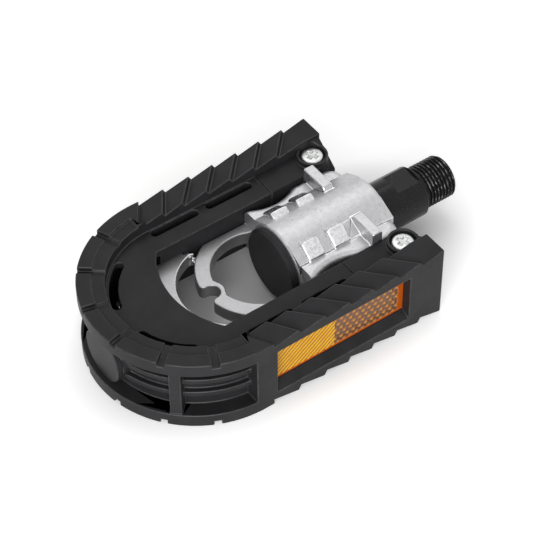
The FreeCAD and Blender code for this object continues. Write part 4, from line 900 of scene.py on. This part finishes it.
class PEDAL_OT_castings(bpy.types.Operator):
    """Round and finish the aluminium latch plate and body, and roof the body's grips"""

    bl_idname = "pedal.castings"
    bl_label = "Castings"

    def execute(self, context):
        finishes = cast_aluminium(), worn_and_highlit_aluminium()
        edge = sizes().cast_edge
        dress(soft_edged("latch_plate", edge), "latch_plate", *finishes)
        dress(soft_edged("body", edge, sunk_grips), "body", *finishes)
        for number in range(GRIPS_IN_ROW):
            for side, side_name in zip((1, -1), SIDES):
                for face, face_name in ((1, "upper"), (-1, "lower")):
                    name = "grip_%d_%s_%s" % (number, side_name, face_name)
                    # The roofed grips wear the brighter edge finish all over: a painted highlight.
                    dress(skin(name, grip_skin(number, side, face)), "body", finishes[1])
        return {"FINISHED"}


class PEDAL_OT_bearings(bpy.types.Operator):
    """Finish the races, balls, pins, seal, washer and nuts"""

    bl_idname = "pedal.bearings"
    bl_label = "Bearings and fasteners"

    def execute(self, context):
        for nodes, finish in ((BEARING_NODES, bearing_steel()), (PLATED_NODES, zinc_plate()),
                              (("inboard_seal",), black_rubber())):
            for node in nodes:
                wear(node, finish)
        return {"FINISHED"}


def studio_floor():
    """A wide plain sheet just under the lowest tread."""
    half, gap = 2.0, 0.02 * MM
    level = CAD_BOX[0].z - gap
    reach = np.linspace(-half, half, 3)
    x, y = np.meshgrid(reach, reach, indexing="ij")
    grid = np.stack([x, y, np.full_like(x, level)], axis=-1)
    mesh = bpy.data.meshes.new("studio_floor")
    cells = [(0, 3, 4, 1), (1, 4, 5, 2), (3, 6, 7, 4), (4, 7, 8, 5)]
    mesh.from_pydata(grid.reshape(-1, 3).tolist(), [], cells)
    sheet = bpy.data.objects.new("studio_floor", mesh)
    bpy.context.scene.collection.objects.link(sheet)
    sheet.data.materials.append(studio_paper())


def seen_rays(tree):
    """One for rays from the camera, gloss or glass, and zero for the soft light between surfaces."""
    path = tree.nodes.new("ShaderNodeLightPath")
    seen = path.outputs["Is Camera Ray"]
    for ray in ("Is Glossy Ray", "Is Transmission Ray"):
        either = tree.nodes.new("ShaderNodeMath")
        either.operation = "MAXIMUM"
        tree.links.new(seen, either.inputs[0])
        tree.links.new(path.outputs[ray], either.inputs[1])
        seen = either.outputs[0]
    return seen


def studio_paper():
    """Pale paper that takes the shadow; to camera, gloss and glass rays it also glows white, a painted
    light that grows with its distance from the pedal's middle, which is counted in half lengths of the
    pedal's box."""
    white_start, white_end, white_glow = 0.7, 1.25, 0.45
    finish = Finish("studio_paper")
    tone = finish.tint(finish.grain(40.0 * MM, 2.0), colours().floor, 0.995, 1.005)
    finish.feed("Base Color", tone)
    finish.set(Roughness=0.9, Specular_IOR_Level=0.1)
    middle = (CAD_BOX[0] + CAD_BOX[1]) / 2.0
    reach = (CAD_BOX[1] - CAD_BOX[0]) / 2.0
    centred = finish.tree.nodes.new("ShaderNodeMapping")
    centred.vector_type = "TEXTURE"
    centred.inputs["Location"].default_value = (middle.x, middle.y, CAD_BOX[0].z)
    centred.inputs["Scale"].default_value = (reach.x, reach.y, 1.0)
    finish.link(finish.place, centred.inputs["Vector"])
    away = finish.tree.nodes.new("ShaderNodeVectorMath")
    away.operation = "LENGTH"
    finish.link(centred.outputs["Vector"], away.inputs[0])
    whitening = finish.ramp(away.outputs["Value"], 0.0, white_glow, white_start, white_end)
    glow = finish.product(whitening, seen_rays(finish.tree))
    finish.set(Emission_Color=(1.0, 1.0, 1.0, 1.0))
    finish.feed("Emission Strength", glow)
    return finish.material


def studio_world(level):
    """White where the camera, gloss or glass looks, and else an even soft light of the given level."""
    world = bpy.data.worlds.new("studio")
    bpy.context.scene.world = world
    world.use_nodes = True
    tree = world.node_tree
    strength = tree.nodes.new("ShaderNodeMapRange")
    strength.inputs["To Min"].default_value = level
    strength.inputs["To Max"].default_value = 1.0
    tree.links.new(seen_rays(tree), strength.inputs["Value"])
    tree.links.new(strength.outputs["Result"], tree.nodes["Background"].inputs["Strength"])
    tree.nodes["Background"].inputs["Color"].default_value = (1.0, 1.0, 1.0, 1.0)


def soft_box(name, place_at, aim, width, power):
    """A square lamp of the given width at a place, facing a point."""
    lamp = bpy.data.lights.new(name, "AREA")
    lamp.shape = "SQUARE"
    lamp.size = width
    lamp.energy = power
    holder = bpy.data.objects.new(name, lamp)
    holder.location = place_at
    holder.rotation_euler = (Vector(aim) - Vector(place_at)).to_track_quat("-Z", "Y").to_euler()
    bpy.context.scene.collection.objects.link(holder)


def photo_camera():
    """The view fitted to the photograph: turned to an azimuth and elevation about a point on the pedal,
    with the point's pixel and the focal length in pixels of a square image."""
    azimuth, elevation, roll = np.radians((-35.86, 46.98, -0.157))
    distance = 642.14 * MM
    focal, image = 2101.04, 533.0
    aim_pixel_x, aim_pixel_y = 287.22, 257.34
    aim = Vector((-48.8 * MM, 0.0, 0.0))
    level_reach = np.cos(elevation)
    back = Vector((np.sin(azimuth) * level_reach, -np.cos(azimuth) * level_reach, np.sin(elevation)))
    right = Vector((np.cos(azimuth), np.sin(azimuth), 0.0))
    up = back.cross(right)
    level = right * np.cos(roll) + up * np.sin(roll)
    upright = up * np.cos(roll) - right * np.sin(roll)
    data = bpy.data.cameras.new("photo_camera")
    data.sensor_width = 36.0
    data.lens = focal / image * data.sensor_width
    data.shift_x = 0.5 - aim_pixel_x / image
    data.shift_y = aim_pixel_y / image - 0.5
    data.clip_start = 0.01
    camera = bpy.data.objects.new("photo_camera", data)
    turn = Matrix((level, upright, back)).transposed().to_4x4()
    camera.matrix_world = Matrix.Translation(aim + back * distance) @ turn
    bpy.context.scene.collection.objects.link(camera)
    bpy.context.scene.camera = camera


class PEDAL_OT_stage(bpy.types.Operator):
    """Set up the floor, the soft light and the camera"""

    bl_idname = "pedal.stage"
    bl_label = "Stage"

    def execute(self, context):
        soft_light = 0.40
        aim = (-0.05, 0.0, 0.0)
        front_place, front_width, front_power = (-0.85, -0.95, 0.50), 1.0, 16.0
        top_place, top_width, top_power = (0.15, 0.45, 1.0), 0.7, 2.0
        studio_floor()
        studio_world(soft_light)
        soft_box("front_box", front_place, aim, front_width, front_power)
        soft_box("top_box", top_place, aim, top_width, top_power)
        photo_camera()
        context.scene.view_settings.view_transform = "Standard"
        return {"FINISHED"}


OPERATORS = (PEDAL_OT_spindle, PEDAL_OT_screws, PEDAL_OT_spring, PEDAL_OT_reflectors, PEDAL_OT_nylon,
             PEDAL_OT_castings, PEDAL_OT_bearings, PEDAL_OT_stage)


class PEDAL_PT_sidebar(bpy.types.Panel):
    """The pedal's pieces, sizes and colours"""

    bl_idname = "PEDAL_PT_sidebar"
    bl_label = "Folding pedal"
    bl_space_type = "VIEW_3D"
    bl_region_type = "UI"
    bl_category = "Pedal"

    def draw(self, context):
        for operator in OPERATORS:
            self.layout.operator(operator.bl_idname)
        for group in (context.scene.pedal_sizes, context.scene.pedal_colours):
            box = self.layout.box()
            for name in group.bl_rna.properties.keys():
                if name not in ("rna_type", "name"):
                    box.prop(group, name)


CLASSES = (PedalSizes, PedalColours, *OPERATORS, PEDAL_PT_sidebar)


def register():
    """Adds the classes and the scene's sizes and colours."""
    for item in CLASSES:
        bpy.utils.register_class(item)
    bpy.types.Scene.pedal_sizes = PointerProperty(type=PedalSizes)
    bpy.types.Scene.pedal_colours = PointerProperty(type=PedalColours)


def unregister():
    """Takes them away again."""
    del bpy.types.Scene.pedal_colours
    del bpy.types.Scene.pedal_sizes
    for item in reversed(CLASSES):
        bpy.utils.unregister_class(item)


def main():
    """Makes every piece and the stage."""
    register()
    bpy.ops.pedal.spindle()
    bpy.ops.pedal.screws()
    bpy.ops.pedal.spring()
    bpy.ops.pedal.reflectors()
    bpy.ops.pedal.nylon()
    bpy.ops.pedal.castings()
    bpy.ops.pedal.bearings()
    bpy.ops.pedal.stage()


if __name__ == "__main__":
    main()
